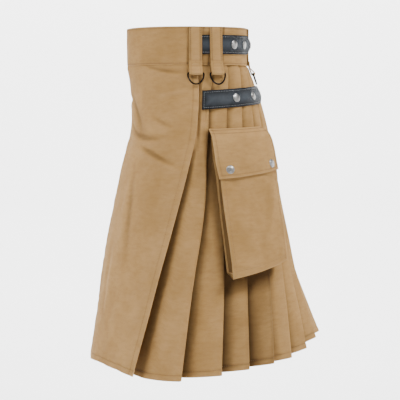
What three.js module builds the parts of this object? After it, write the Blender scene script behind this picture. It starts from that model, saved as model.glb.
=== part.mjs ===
// Utility kilt, filled out as it is worn, in millimetres. +Z is up, -Y is the front and +X is the
// wearer's left. The origin is the centre of the waist opening, at half the waistband's height.
// Every cloth point is given by its drop below the top rim, its distance round the garment from
// centre front towards the wearer's left, and how far it lies outside the worn outline.
import * as THREE from 'three';
import { mergeVertices } from 'three/addons/utils/BufferGeometryUtils.js';

const bandHeight = 68;
const clothLength = 610;
const rimHeight = bandHeight / 2;
const seamGap = 0.3;
const laidGap = 0.6;
const cloth = 1.2;
const bandCloth = 2.2;
const leather = 2.5;

// The worn outline. Each row is a level section: half depth at the front, half width, half depth at
// the back, how much higher the level runs at centre back, and the squareness of each half.
const outline = [
  { drop: 0, front: 112, side: 138, back: 112, lift: 0, squareFront: 2.15, squareBack: 2.5 },
  { drop: 68, front: 111, side: 143, back: 113, lift: 0, squareFront: 2.15, squareBack: 2.5 },
  { drop: 100, front: 106, side: 150, back: 124, lift: 1, squareFront: 2.15, squareBack: 2.4 },
  { drop: 140, front: 103, side: 160, back: 138, lift: 3, squareFront: 2.2, squareBack: 2.3 },
  { drop: 190, front: 105, side: 171, back: 151, lift: 6, squareFront: 2.3, squareBack: 2.2 },
  { drop: 240, front: 118, side: 181, back: 161, lift: 9, squareFront: 2.3, squareBack: 2.15 },
  { drop: 320, front: 134, side: 195, back: 175, lift: 15, squareFront: 2.2, squareBack: 2.1 },
  { drop: 400, front: 148, side: 208, back: 190, lift: 23, squareFront: 2.1, squareBack: 2.0 },
  { drop: 480, front: 161, side: 220, back: 205, lift: 33, squareFront: 2.1, squareBack: 2.0 },
  { drop: 560, front: 174, side: 231, back: 230, lift: 43, squareFront: 2.1, squareBack: 2.0 },
  { drop: 610, front: 182, side: 238, back: 247, lift: 50, squareFront: 2.1, squareBack: 2.0 },
];

// Half width of the outer apron, measured along the cloth.
const apronHalf = [
  { drop: 0, half: 197 },
  { drop: 68, half: 208 },
  { drop: 110, half: 215 },
  { drop: 150, half: 221 },
  { drop: 234, half: 233 },
  { drop: 304, half: 234 },
  { drop: 434, half: 227 },
  { drop: 610, half: 213 },
];

// Where each knife pleat's folded edge lies, round the garment from centre front, at five drops.
const foldDrops = [68, 150, 300, 430, 610];
const folds = [
  { waist: 237, hip: 240, thigh: 277, knee: 288, hem: 305 },
  { waist: 269, hip: 275, thigh: 310, knee: 341, hem: 378 },
  { waist: 302, hip: 309, thigh: 352, knee: 387, hem: 429 },
  { waist: 330, hip: 340, thigh: 394, knee: 441, hem: 482 },
  { waist: 357, hip: 370, thigh: 433, knee: 485, hem: 530 },
  { waist: 384, hip: 400, thigh: 472, knee: 530, hem: 580 },
  { waist: 411, hip: 431, thigh: 512, knee: 576, hem: 636 },
  { waist: 438, hip: 463, thigh: 553, knee: 624, hem: 697 },
  { waist: 465, hip: 496, thigh: 596, knee: 674, hem: 762 },
  { waist: 492, hip: 530, thigh: 640, knee: 726, hem: 829 },
  { waist: 519, hip: 564, thigh: 684, knee: 779, hem: 897 },
  { waist: 547, hip: 598, thigh: 729, knee: 833, hem: 966 },
  { waist: 575, hip: 633, thigh: 774, knee: 888, hem: 1036 },
  { waist: 601, hip: 667, thigh: 818, knee: 943, hem: 1106 },
];

// How a pleat opens on its way down: depth from its outer fold to its inner fold, how far the
// inner fold runs back under the outer one, the radius of the folds, and how free it swings.
const pleatShape = [
  { drop: 68, depth: 4.2, underlap: 14, radius: 1.05, open: 0 },
  { drop: 125, depth: 4.2, underlap: 15, radius: 1.05, open: 0 },
  { drop: 190, depth: 7, underlap: 19, radius: 1.3, open: 0.35 },
  { drop: 260, depth: 12, underlap: 24, radius: 1.7, open: 0.8 },
  { drop: 340, depth: 18, underlap: 28, radius: 1.8, open: 1 },
  { drop: 430, depth: 24, underlap: 32, radius: 2.2, open: 1 },
  { drop: 520, depth: 30, underlap: 36, radius: 2.7, open: 1 },
  { drop: 610, depth: 35, underlap: 39, radius: 3.2, open: 1 },
];

const skirtDrops = [bandHeight + seamGap, 100, 128, 165, 210, 265, 330, 400, 470, 540, clothLength];

function smoothTable(rows, names) {
  // Reads a table at any drop with a smooth curve through its rows.
  return (drop) => {
    let i = rows.findIndex((row) => row.drop > drop) - 1;
    if (i < 0) i = drop <= rows[0].drop ? 0 : rows.length - 2;
    const a = rows[Math.max(i - 1, 0)];
    const b = rows[i];
    const c = rows[i + 1];
    const d = rows[Math.min(i + 2, rows.length - 1)];
    const span = c.drop - b.drop;
    const t = (drop - b.drop) / span;
    const result = {};
    for (const name of names) {
      const leave = ((c[name] - a[name]) / (c.drop - a.drop)) * span;
      const arrive = ((d[name] - b[name]) / (d.drop - b.drop)) * span;
      const t2 = t * t;
      const t3 = t2 * t;
      result[name] = (2 * t3 - 3 * t2 + 1) * b[name] + (t3 - 2 * t2 + t) * leave
        + (3 * t2 - 2 * t3) * c[name] + (t3 - t2) * arrive;
    }
    return result;
  };
}

const outlineAt = smoothTable(outline, ['front', 'side', 'back', 'lift', 'squareFront', 'squareBack']);
const apronAt = smoothTable(apronHalf, ['half']);
const pleatAt = smoothTable(pleatShape, ['depth', 'underlap', 'radius', 'open']);
const foldColumns = ['waist', 'hip', 'thigh', 'knee', 'hem'];
const foldAt = folds.map((fold) => {
  const rows = foldDrops.map((drop, i) => ({ drop, s: fold[foldColumns[i]] }));
  return smoothTable(rows, ['s']);
});

const ringSteps = 720;
const ringStore = new Map();

function levelRing(drop) {
  // One level section as plan points with their running length and their height.
  if (ringStore.has(drop)) return ringStore.get(drop);
  const o = outlineAt(drop);
  const points = [];
  const lengths = [];
  let length = 0;
  for (let i = 0; i <= ringSteps; i++) {
    const turn = (i / ringSteps) * 2 * Math.PI;
    const sine = Math.sin(turn);
    const cosine = Math.cos(turn);
    const isFront = cosine > 0;
    const power = 2 / (isFront ? o.squareFront : o.squareBack);
    const x = o.side * Math.sign(sine) * Math.abs(sine) ** power;
    const y = -(isFront ? o.front : o.back) * Math.sign(cosine) * Math.abs(cosine) ** power;
    const z = rimHeight - drop + o.lift * ((1 - cosine) / 2) ** 3;
    const point = new THREE.Vector3(x, y, z);
    if (i > 0) length += Math.hypot(x - points[i - 1].x, y - points[i - 1].y);
    points.push(point);
    lengths.push(length);
  }
  const ring = { points, lengths, around: length };
  ringStore.set(drop, ring);
  return ring;
}

function around(drop) {
  return levelRing(drop).around;
}

function ringPoint(drop, s) {
  const ring = levelRing(drop);
  const wrapped = ((s % ring.around) + ring.around) % ring.around;
  let low = 0;
  let high = ringSteps;
  while (high - low > 1) {
    const middle = (low + high) >> 1;
    if (ring.lengths[middle] <= wrapped) low = middle;
    else high = middle;
  }
  const t = (wrapped - ring.lengths[low]) / (ring.lengths[high] - ring.lengths[low]);
  return ring.points[low].clone().lerp(ring.points[high], t);
}

function outward(drop, s) {
  // The level direction that points away from the garment.
  const reach = 4;
  const along = ringPoint(drop, s + reach).sub(ringPoint(drop, s - reach));
  return new THREE.Vector3(along.y, -along.x, 0).normalize();
}

function clothPoint(drop, s, out) {
  return ringPoint(drop, s).addScaledVector(outward(drop, s), out);
}

function solidFromSheets(outer, inner) {
  // Closes two like grids of points, an outer and an inner face, into one wall.
  const rows = outer.length;
  const columns = outer[0].length;
  const positions = [];
  const face = (a, b, c, d) => {
    for (const p of [a, b, c, a, c, d]) positions.push(p.x, p.y, p.z);
  };
  for (let i = 0; i < rows - 1; i++) {
    for (let j = 0; j < columns - 1; j++) {
      face(outer[i][j], outer[i + 1][j], outer[i + 1][j + 1], outer[i][j + 1]);
      face(inner[i][j], inner[i][j + 1], inner[i + 1][j + 1], inner[i + 1][j]);
    }
  }
  for (let i = 0; i < rows - 1; i++) {
    const last = columns - 1;
    face(outer[i][0], inner[i][0], inner[i + 1][0], outer[i + 1][0]);
    face(outer[i][last], outer[i + 1][last], inner[i + 1][last], inner[i][last]);
  }
  for (let j = 0; j < columns - 1; j++) {
    const last = rows - 1;
    face(outer[0][j], outer[0][j + 1], inner[0][j + 1], inner[0][j]);
    face(outer[last][j], inner[last][j], inner[last][j + 1], outer[last][j + 1]);
  }
  return closedGeometry(positions);
}

function closedGeometry(positions) {
  // Merges shared corners and turns the faces outwards.
  const raw = new THREE.BufferGeometry();
  raw.setAttribute('position', new THREE.Float32BufferAttribute(positions, 3));
  const merged = mergeVertices(raw, 1e-3);
  const index = Array.from(merged.index.array);
  const place = merged.attributes.position;
  const a = new THREE.Vector3();
  const b = new THREE.Vector3();
  const c = new THREE.Vector3();
  let volume = 0;
  const kept = [];
  for (let i = 0; i < index.length; i += 3) {
    const [p, q, r] = [index[i], index[i + 1], index[i + 2]];
    if (p === q || q === r || r === p) continue;
    a.fromBufferAttribute(place, p);
    b.fromBufferAttribute(place, q);
    c.fromBufferAttribute(place, r);
    volume += a.dot(b.cross(c));
    kept.push(p, q, r);
  }
  if (volume < 0) {
    for (let i = 0; i < kept.length; i += 3) [kept[i + 1], kept[i + 2]] = [kept[i + 2], kept[i + 1]];
  }
  merged.setIndex(kept);
  merged.computeVertexNormals();
  return merged;
}

function wallAlong(drops, line, thickness) {
  // A cloth wall: line(drop) gives its middle as a run of { s, out }, and each side stands half
  // the thickness off that run, square to it.
  const outer = [];
  const inner = [];
  for (const drop of drops) {
    const run = line(drop);
    const outerRow = [];
    const innerRow = [];
    run.forEach((p, j) => {
      const before = run[Math.max(j - 1, 0)];
      const after = run[Math.min(j + 1, run.length - 1)];
      const length = Math.hypot(after.s - before.s, after.out - before.out);
      const normalS = -(after.out - before.out) / length;
      const normalOut = (after.s - before.s) / length;
      const half = thickness / 2;
      outerRow.push(clothPoint(drop, p.s + normalS * half, p.out + normalOut * half));
      innerRow.push(clothPoint(drop, p.s - normalS * half, p.out - normalOut * half));
    });
    outer.push(outerRow);
    inner.push(innerRow);
  }
  return solidFromSheets(outer, inner);
}

function evenSteps(from, to, count) {
  return Array.from({ length: count + 1 }, (_, i) => from + ((to - from) * i) / count);
}

const group = new THREE.Group();

const finishes = {
  cloth: { color: 0xb8946a, roughness: 0.9, metalness: 0 },
  leather: { color: 0x2b2d30, roughness: 0.5, metalness: 0 },
  ring: { color: 0x2a2522, roughness: 0.35, metalness: 0.9 },
  stud: { color: 0xd0cdc6, roughness: 0.3, metalness: 1 },
};

function add(name, geometry, finish) {
  const mesh = new THREE.Mesh(geometry, new THREE.MeshStandardMaterial(finishes[finish]));
  mesh.name = name;
  group.add(mesh);
  return mesh;
}

// Layers at the waist, from outside in. The outer apron's face is the worn outline itself.
const bandLap = 14;
const frontBandHalf = 203;
const underApronEdge = 140;
const tuckAtWaist = 30;
const tuckAtHem = 66;
const pleatInset = 2.2;

function tuckUnderApron(drop) {
  return tuckAtWaist + (tuckAtHem - tuckAtWaist) * (drop / clothLength) ** 1.5;
}

function underApronOut(drop) {
  return -pleatInset - cloth / 2 - pleatAt(drop).depth * 0.5 - 1.8;
}

function apronEdge(drop) {
  return apronAt(drop).half;
}

// Waistband: the front one lies over the back one's ends, and the under one inside the front one.
function buildBands() {
  const drops = [0, bandHeight / 2, bandHeight];
  const frontRun = () => evenSteps(-frontBandHalf, frontBandHalf, 26)
    .map((s) => ({ s, out: -bandCloth / 2 }));
  add('waistband_front', wallAlong(drops, frontRun, bandCloth), 'cloth');
  const backOut = -bandCloth - seamGap - bandCloth / 2;
  const backRun = (drop) => evenSteps(frontBandHalf - bandLap, around(drop) - frontBandHalf + bandLap, 28)
    .map((s) => ({ s, out: backOut }));
  add('waistband_back', wallAlong(drops, backRun, bandCloth), 'cloth');
  const underRun = () => evenSteps(-frontBandHalf + bandLap + seamGap, underApronEdge, 20)
    .map((s) => ({ s, out: backOut }));
  add('waistband_under', wallAlong(drops, underRun, bandCloth), 'cloth');
}

// Aprons: plain panels. The free side edges of the outer one stand a little off the pleats.
function buildAprons() {
  const outerRun = (drop) => evenSteps(-apronEdge(drop), apronEdge(drop), 28)
    .map((s) => ({ s, out: -cloth / 2 }));
  add('apron_outer', wallAlong(skirtDrops, outerRun, cloth), 'cloth');
  const underRun = (drop) => {
    const start = -(apronEdge(drop) - tuckUnderApron(drop)) + seamGap;
    return evenSteps(start, underApronEdge, 16).map((s) => ({ s, out: underApronOut(drop) }));
  };
  add('apron_under', wallAlong(skirtDrops, underRun, cloth), 'cloth');
}

// Knife pleats: from under the left apron edge round the back, every fold laid the same way.
function foldPlace(index, drop) {
  return foldAt[index](drop).s;
}

function pleatPoints(index, drop) {
  // The face that ends in fold `index`, the fold itself and the return to its inner fold.
  const p = pleatAt(drop);
  const high = -pleatInset - cloth / 2;
  const low = high - p.depth;
  const r = p.radius;
  const fold = foldPlace(index, drop);
  const start = index === 0
    ? apronEdge(drop) - tuckUnderApron(drop)
    : foldPlace(index - 1, drop) - p.underlap;
  const previous = index === 0 ? apronEdge(drop) : foldPlace(index - 1, drop);
  const clear = 2;
  const riseFrom = previous + clear;
  const riseTo = fold - p.underlap - clear;
  const span = fold - start;
  const swing = (s) => {
    const t = (s - start) / span;
    return low + p.depth * t * (1.35 - 0.35 * t);
  };
  const mixed = (s, flat) => flat + (swing(s) - flat) * p.open;
  const points = [
    { s: start + r, out: low },
    { s: riseFrom, out: mixed(riseFrom, low) },
    { s: riseTo, out: mixed(riseTo, high) },
    { s: fold - r, out: high },
    { s: fold - r * 0.2, out: high - r * 0.4 },
    { s: fold - r * 0.2, out: high - r * 1.6 },
    { s: fold - r, out: high - r * 2 },
  ];
  const inner = fold - p.underlap;
  points.push({ s: inner + r, out: low + r * 2 });
  points.push({ s: inner, out: low + r });
  return points;
}

function lastPanel(drop) {
  // After the last fold the cloth runs on under the right edge of the outer apron.
  const p = pleatAt(drop);
  const low = -pleatInset - cloth / 2 - p.depth;
  const start = foldPlace(folds.length - 1, drop) - p.underlap;
  const end = around(drop) - apronEdge(drop) + tuckUnderApron(drop);
  return evenSteps(start + p.radius, end, 4).map((s, i) => {
    const out = low + (underApronOut(drop) - low) * (i / 4);
    return { s, out };
  });
}

function buildPleats() {
  const lengths = [
    { name: 'pleats_left', first: 0, last: 3 },
    { name: 'pleats_left_back', first: 4, last: 6 },
    { name: 'pleats_right_back', first: 7, last: 10 },
    { name: 'pleats_right', first: 11, last: 13 },
  ];
  const isLastFold = (index) => index === folds.length - 1;
  for (const piece of lengths) {
    const run = (drop) => {
      const points = [];
      for (let index = piece.first; index <= piece.last; index++) {
        points.push(...pleatPoints(index, drop));
      }
      if (isLastFold(piece.last)) points.push(...lastPanel(drop));
      else points.pop();
      return points;
    };
    add(piece.name, wallAlong(skirtDrops, run, cloth), 'cloth');
  }
}

// Pieces laid on the cloth. `side` is 1 on the wearer's left and -1, mirrored, on the right.
function laidPanel(places, side, thickness) {
  // A wall standing on a grid of { drop, s, out } places, where out is its inner face.
  const inner = places.map((row) => row.map((p) => clothPoint(p.drop, side * p.s, p.out)));
  const outer = places.map((row) => row.map((p) => clothPoint(p.drop, side * p.s, p.out + thickness)));
  return solidFromSheets(outer, inner);
}

const strapHeight = 34;
const strapTip = 15;
const tipHeight = 7;
const straps = [
  { name: 'waist', start: 204, end: 346, startDrop: 32, endDrop: 31, out: laidGap - pleatInset, studs: [280, 314] },
  { name: 'hip', start: 224, end: 388, startDrop: 130, endDrop: 121, out: laidGap - pleatInset, studs: [289, 339] },
];

function strapMiddle(strap, s) {
  const t = (s - strap.start) / (strap.end - strap.start);
  return strap.startDrop + (strap.endDrop - strap.startDrop) * t;
}

function buildStraps(side, sideName) {
  for (const strap of straps) {
    const shoulder = strap.end - strapTip;
    const columns = [...evenSteps(strap.start, shoulder, 10), strap.end];
    const places = [-1, 0, 1].map((level) => columns.map((s) => {
      const height = s > shoulder ? tipHeight : strapHeight;
      return { drop: strapMiddle(strap, s) + (level * height) / 2, s, out: strap.out };
    }));
    add(`strap_${strap.name}_${sideName}`, laidPanel(places, side, leather), 'leather');
  }
}

// Bellows pockets: a bag that hangs on the pleats, leaning back with their flare.
const pocketEdges = [
  { drop: 181, front: 249, rear: 371, rise: 0 },
  { drop: 268, front: 288, rear: 402, rise: 8 },
  { drop: 450, front: 352, rear: 464, rise: 15 },
];
const pocketMouth = 196;
const pocketBottom = 445;
const flapSeam = 181;
const flapHem = 268;
const pocketSwell = [
  { drop: 181, swell: 2 },
  { drop: 196, swell: 12 },
  { drop: 225, swell: 19 },
  { drop: 268, swell: 22 },
  { drop: 400, swell: 24 },
  { drop: 450, swell: 22 },
];
const pocketBack = laidGap - pleatInset;
const bellowsTuck = 8;
const swellAt = smoothTable(pocketSwell, ['swell']);

function pocketPlace(across, drop) {
  // across runs from 0 at the front edge to 1 at the rear edge.
  const i = drop > pocketEdges[1].drop ? 1 : 0;
  const [a, b] = [pocketEdges[i], pocketEdges[i + 1]];
  const t = (drop - a.drop) / (b.drop - a.drop);
  const mix = (name) => a[name] + (b[name] - a[name]) * t;
  return {
    drop: drop - mix('rise') * across,
    s: mix('front') + (mix('rear') - mix('front')) * across,
  };
}

function pocketLoop(drop, inset) {
  // One level of the bag: its back, rear bellows, front and front bellows, set in by `inset`.
  const width = pocketPlace(1, drop).s - pocketPlace(0, drop).s;
  const margin = inset / width;
  const back = pocketBack + inset;
  const front = swellAt(drop).swell - inset;
  const tuck = (bellowsTuck + inset) / width;
  const steps = evenSteps(margin, 1 - margin, 5);
  const loop = [];
  for (const across of steps) loop.push({ across, out: back });
  loop.push({ across: 1 - tuck, out: (back + front) / 2 });
  for (const across of [...steps].reverse()) loop.push({ across, out: front });
  loop.push({ across: tuck, out: (back + front) / 2 });
  return loop;
}

function buildPocket(side, sideName) {
  const drops = [pocketMouth, 225, 268, 330, 390, pocketBottom];
  const shell = (inset, lastDrop) => drops.map((drop, i) => {
    const level = i === drops.length - 1 ? lastDrop : drop;
    return pocketLoop(level, inset).map((p) => {
      const place = pocketPlace(p.across, level);
      return clothPoint(place.drop, side * place.s, p.out);
    });
  });
  const outer = shell(0, pocketBottom);
  const inner = shell(cloth, pocketBottom - cloth);
  const positions = [];
  const triangle = (...corners) => corners.forEach((p) => positions.push(p.x, p.y, p.z));
  const quad = (a, b, c, d) => {
    triangle(a, b, c);
    triangle(a, c, d);
  };
  const count = outer[0].length;
  const last = drops.length - 1;
  for (let j = 0; j < count; j++) {
    const k = (j + 1) % count;
    for (let i = 0; i < last; i++) {
      quad(outer[i][j], outer[i + 1][j], outer[i + 1][k], outer[i][k]);
      quad(inner[i][j], inner[i][k], inner[i + 1][k], inner[i + 1][j]);
    }
    quad(outer[0][j], outer[0][k], inner[0][k], inner[0][j]);
  }
  const half = count / 2;
  for (const [loop, turn] of [[outer[last], 1], [inner[last], -1]]) {
    const cap = (a, b, c) => (turn > 0 ? triangle(a, b, c) : triangle(a, c, b));
    for (let j = 0; j < half - 2; j++) {
      const [a, b] = [loop[j], loop[j + 1]];
      const [c, d] = [loop[count - 3 - j], loop[count - 2 - j]];
      cap(a, c, b);
      cap(a, d, c);
    }
    cap(loop[half - 2], loop[half], loop[half - 1]);
    cap(loop[0], loop[count - 1], loop[count - 2]);
  }
  add(`pocket_${sideName}`, closedGeometry(positions), 'cloth');
}

const flapOverhang = 0.018;
const flapStuds = [{ across: 0.14, drop: 254 }, { across: 0.85, drop: 254 }];

function flapOut(drop) {
  return drop <= flapSeam ? pocketBack : swellAt(drop).swell + laidGap;
}

function buildFlap(side, sideName) {
  const drops = [flapSeam, 188, pocketMouth, 225, 250, flapHem];
  const places = drops.map((drop) => evenSteps(-flapOverhang, 1 + flapOverhang, 7)
    .map((across) => ({ ...pocketPlace(across, drop), out: flapOut(drop) })));
  add(`flap_${sideName}`, laidPanel(places, side, cloth), 'cloth');
}

// Snap caps: plain domed discs.
const capRadius = 7.5;
const capProfile = [[0, 0], [7.2, 0], [capRadius, 0.8], [5.2, 1.9], [0, 2.3]];
const capSides = 12;

function closedFrom(geometry, matrix) {
  const loose = geometry.index ? geometry.toNonIndexed() : geometry;
  const placed = loose.applyMatrix4(matrix);
  return closedGeometry(Array.from(placed.attributes.position.array));
}

function surfaceFrame(drop, s, outAt) {
  // A frame on the cloth: x along it, y up it and z square out of it.
  const reach = 5;
  const at = (d, place) => clothPoint(d, place, outAt(d));
  const up = at(drop - reach, s).sub(at(drop + reach, s)).normalize();
  const along = at(drop, s + reach).sub(at(drop, s - reach)).normalize();
  const normal = along.clone().cross(up).normalize();
  const x = up.clone().cross(normal);
  return new THREE.Matrix4().makeBasis(x, up, normal).setPosition(at(drop, s));
}

function addStud(name, drop, s, outAt) {
  const profile = capProfile.map(([radius, height]) => new THREE.Vector2(radius, height));
  const cap = new THREE.LatheGeometry(profile, capSides).rotateX(Math.PI / 2);
  add(name, closedFrom(cap, surfaceFrame(drop, s, outAt)), 'stud');
}

function buildStuds(side, sideName) {
  for (const strap of straps) {
    strap.studs.forEach((s, i) => {
      const outAt = () => strap.out + leather + seamGap;
      addStud(`stud_${strap.name}_${sideName}_${i + 1}`, strapMiddle(strap, s), side * s, outAt);
    });
  }
  flapStuds.forEach((stud, i) => {
    const place = pocketPlace(stud.across, stud.drop);
    const lean = stud.drop - place.drop;
    const outAt = (drop) => flapOut(drop + lean) + cloth + seamGap;
    addStud(`stud_flap_${sideName}_${i + 1}`, place.drop, side * place.s, outAt);
  });
}

// Cloth loops, each doubled round the straight bar of a D-ring.
const loopWidth = 24;
const loopCloth = 1.6;
const eyeDrop = 82;
const eyeRadius = 3.8;
const eyeHole = 2.2;
const eyeClear = 1.8;
const wire = 1.5;
const ringHalfWidth = 14;
const ringReach = 20;
const ringStandOff = 3.8;
const loops = [
  { name: 'left_front', s: 206, seat: 1.4, ground: 0 },
  { name: 'left_rear', s: 244, seat: 1.4, ground: -pleatInset },
  { name: 'back_left', s: 365, seat: -2, ground: -pleatInset },
  { name: 'back_right', s: -365, seat: -2, ground: -pleatInset },
  { name: 'right_rear', s: -244, seat: 1.4, ground: -pleatInset },
  { name: 'right_front', s: -206, seat: 1.4, ground: 0 },
];

function loopFrame(s) {
  // x square out of the cloth and level, y up, z along the cloth.
  const normal = outward(bandHeight, s);
  const up = new THREE.Vector3(0, 0, 1);
  const along = normal.clone().cross(up);
  const origin = clothPoint(bandHeight, s, 0).setZ(0);
  return { normal, along, origin, matrix: new THREE.Matrix4().makeBasis(normal, up, along).setPosition(origin) };
}

function profilePoint(frame, drop, s, out) {
  const p = clothPoint(drop, s, out);
  return new THREE.Vector2(p.clone().sub(frame.origin).dot(frame.normal), p.z);
}

function eyeCentre(frame, loop) {
  const base = profilePoint(frame, bandHeight, loop.s, loop.seat);
  const level = profilePoint(frame, eyeDrop, loop.s, 0).y;
  const low = profilePoint(frame, eyeDrop, loop.s, loop.ground + eyeClear).x;
  return new THREE.Vector2(Math.max(base.x, low) + eyeRadius, level);
}

function buildLoop(loop) {
  const frame = loopFrame(loop.s);
  const top = profilePoint(frame, 1, loop.s, loop.seat);
  const middle = profilePoint(frame, bandHeight * 0.6, loop.s, loop.seat);
  const low = profilePoint(frame, bandHeight, loop.s, loop.seat);
  const eye = eyeCentre(frame, loop);
  const joinAngle = 2.2;
  const shape = new THREE.Shape();
  shape.moveTo(top.x + loopCloth, top.y);
  shape.lineTo(top.x, top.y);
  shape.lineTo(middle.x, middle.y);
  shape.lineTo(low.x, low.y);
  const steps = 9;
  for (let i = 0; i <= steps; i++) {
    const angle = Math.PI + ((2 * Math.PI - joinAngle) * i) / steps;
    shape.lineTo(eye.x + eyeRadius * Math.cos(angle), eye.y + eyeRadius * Math.sin(angle));
  }
  shape.lineTo(low.x + loopCloth + 0.8, low.y + 4);
  shape.lineTo(middle.x + loopCloth, middle.y);
  const hole = new THREE.Path();
  hole.absarc(eye.x, eye.y, eyeHole, 0, 2 * Math.PI, true);
  shape.holes.push(hole);
  const body = new THREE.ExtrudeGeometry(shape, { depth: loopWidth, bevelEnabled: false, curveSegments: 5 });
  body.translate(0, 0, -loopWidth / 2);
  add(`loop_${loop.name}`, closedFrom(body, frame.matrix), 'cloth');
}

function wireLoop(path, radius, sides) {
  // A round wire along a closed flat path in the x-y plane, mitred at its corners.
  const positions = [];
  const rings = path.map((point, i) => {
    const before = path[(i + path.length - 1) % path.length];
    const after = path[(i + 1) % path.length];
    const arrive = point.clone().sub(before).normalize();
    const leave = after.clone().sub(point).normalize();
    const tangent = arrive.clone().add(leave).normalize();
    const across = new THREE.Vector2(tangent.y, -tangent.x);
    const stretch = 1 / Math.max(tangent.dot(leave), 0.5);
    return Array.from({ length: sides }, (_, k) => {
      const angle = ((k + 0.5) / sides) * 2 * Math.PI;
      const reach = radius * Math.cos(angle) * stretch;
      return new THREE.Vector3(
        point.x + across.x * reach,
        point.y + across.y * reach,
        radius * Math.sin(angle),
      );
    });
  });
  rings.forEach((ring, i) => {
    const next = rings[(i + 1) % rings.length];
    ring.forEach((a, k) => {
      const b = ring[(k + 1) % sides];
      const c = next[(k + 1) % sides];
      const d = next[k];
      for (const p of [a, b, c, a, c, d]) positions.push(p.x, p.y, p.z);
    });
  });
  return closedGeometry(positions);
}

function ringPath() {
  // A D: the straight bar lies on the x axis and the bow hangs below it.
  const path = [new THREE.Vector2(ringHalfWidth, 0)];
  const steps = 9;
  const bowTop = 3;
  for (let i = 0; i <= steps; i++) {
    const angle = (i / steps) * Math.PI;
    const depth = bowTop + (ringReach - bowTop) * Math.sin(angle);
    path.push(new THREE.Vector2(ringHalfWidth * Math.cos(angle), -depth));
  }
  path.push(new THREE.Vector2(-ringHalfWidth, 0));
  return path;
}

function buildRing(loop) {
  const frame = loopFrame(loop.s);
  const eye = eyeCentre(frame, loop);
  const foot = profilePoint(frame, eyeDrop + ringReach, loop.s, loop.ground + ringStandOff + wire);
  const lean = Math.asin((foot.x - eye.x) / ringReach);
  const down = frame.normal.clone().multiplyScalar(Math.sin(lean)).setZ(-Math.cos(lean));
  const x = frame.along;
  const y = down.clone().negate();
  const place = frame.origin.clone().addScaledVector(frame.normal, eye.x).setZ(eye.y);
  const matrix = new THREE.Matrix4().makeBasis(x, y, x.clone().cross(y)).setPosition(place);
  add(`ring_${loop.name}`, closedFrom(wireLoop(ringPath(), wire, 6), matrix), 'ring');
}

buildBands();
buildAprons();
buildPleats();
for (const [side, sideName] of [[1, 'left'], [-1, 'right']]) {
  buildStraps(side, sideName);
  buildPocket(side, sideName);
  buildFlap(side, sideName);
  buildStuds(side, sideName);
}
for (const loop of loops) {
  buildLoop(loop);
  buildRing(loop);
}

export default group;
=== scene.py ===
# Utility kilt, dressed: cloth shells, leather straps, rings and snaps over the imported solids.
# Metres, +Z up, -Y the front, +X the wearer's left; the origin is in the middle of the waist.
import math

import bpy
import numpy as np
from mathutils import Matrix, Vector


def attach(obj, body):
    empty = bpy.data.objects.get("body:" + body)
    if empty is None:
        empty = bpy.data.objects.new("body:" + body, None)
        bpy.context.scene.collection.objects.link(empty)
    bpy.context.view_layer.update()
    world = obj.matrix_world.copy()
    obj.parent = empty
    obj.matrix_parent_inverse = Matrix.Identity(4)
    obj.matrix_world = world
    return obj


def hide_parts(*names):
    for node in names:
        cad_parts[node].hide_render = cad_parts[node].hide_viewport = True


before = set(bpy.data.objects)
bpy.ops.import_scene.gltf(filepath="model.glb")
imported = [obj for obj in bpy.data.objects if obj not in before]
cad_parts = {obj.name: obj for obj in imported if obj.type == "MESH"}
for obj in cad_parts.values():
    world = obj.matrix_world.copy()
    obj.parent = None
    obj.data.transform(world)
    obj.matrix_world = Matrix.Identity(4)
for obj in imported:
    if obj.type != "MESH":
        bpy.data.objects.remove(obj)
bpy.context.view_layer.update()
mm = 0.001

# The worn outline, one level section a row, in mm: half depth at the front, half width, half depth
# at the back, how much higher the level runs at centre back, and the squareness of each half.
outline = {
    "drop": [0, 68, 100, 140, 190, 240, 320, 400, 480, 560, 610],
    "front": [112, 111, 106, 103, 105, 118, 134, 148, 161, 174, 182],
    "side": [138, 143, 150, 160, 171, 181, 195, 208, 220, 231, 238],
    "back": [112, 113, 124, 138, 151, 161, 175, 190, 205, 230, 247],
    "lift": [0, 0, 1, 3, 6, 9, 15, 23, 33, 43, 50],
    "squareFront": [2.15, 2.15, 2.15, 2.2, 2.3, 2.3, 2.2, 2.1, 2.1, 2.1, 2.1],
    "squareBack": [2.5, 2.5, 2.4, 2.3, 2.2, 2.15, 2.1, 2.0, 2.0, 2.0, 2.0],
}
kilt = {
    "bandHeight": 68,
    "length": 610,
    "seamGap": 0.3,
    "cloth": 1.2,
    "bandCloth": 2.2,
    "pleatInset": 2.2,
    "tuckAtWaist": 30,
    "tuckAtHem": 66,
    "underApronEdge": 140,
    "frontBandHalf": 203,
    "bandLap": 14,
}
apronHalf = {
    "drop": [0, 68, 110, 150, 234, 304, 434, 610],
    "half": [197, 208, 215, 221, 233, 234, 227, 213],
}
foldDrops = [68, 150, 300, 430, 610]
# Where each pleat's folded edge lies round the garment, in mm, at the five drops above.
foldRows = [
    [237, 240, 277, 288, 305],
    [269, 275, 310, 341, 378],
    [302, 309, 352, 387, 429],
    [330, 340, 394, 441, 482],
    [357, 370, 433, 485, 530],
    [384, 400, 472, 530, 580],
    [411, 431, 512, 576, 636],
    [438, 463, 553, 624, 697],
    [465, 496, 596, 674, 762],
    [492, 530, 640, 726, 829],
    [519, 564, 684, 779, 897],
    [547, 598, 729, 833, 966],
    [575, 633, 774, 888, 1036],
    [601, 667, 818, 943, 1106],
]
skirtWaves = {"deep": 2.4, "frontFull": 2.6, "cells": 18, "seed": 17}
pocketEdges = {
    "drop": [181, 268, 450],
    "front": [249, 288, 352],
    "rear": [371, 402, 464],
    "rise": [0, 8, 15],
}
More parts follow.
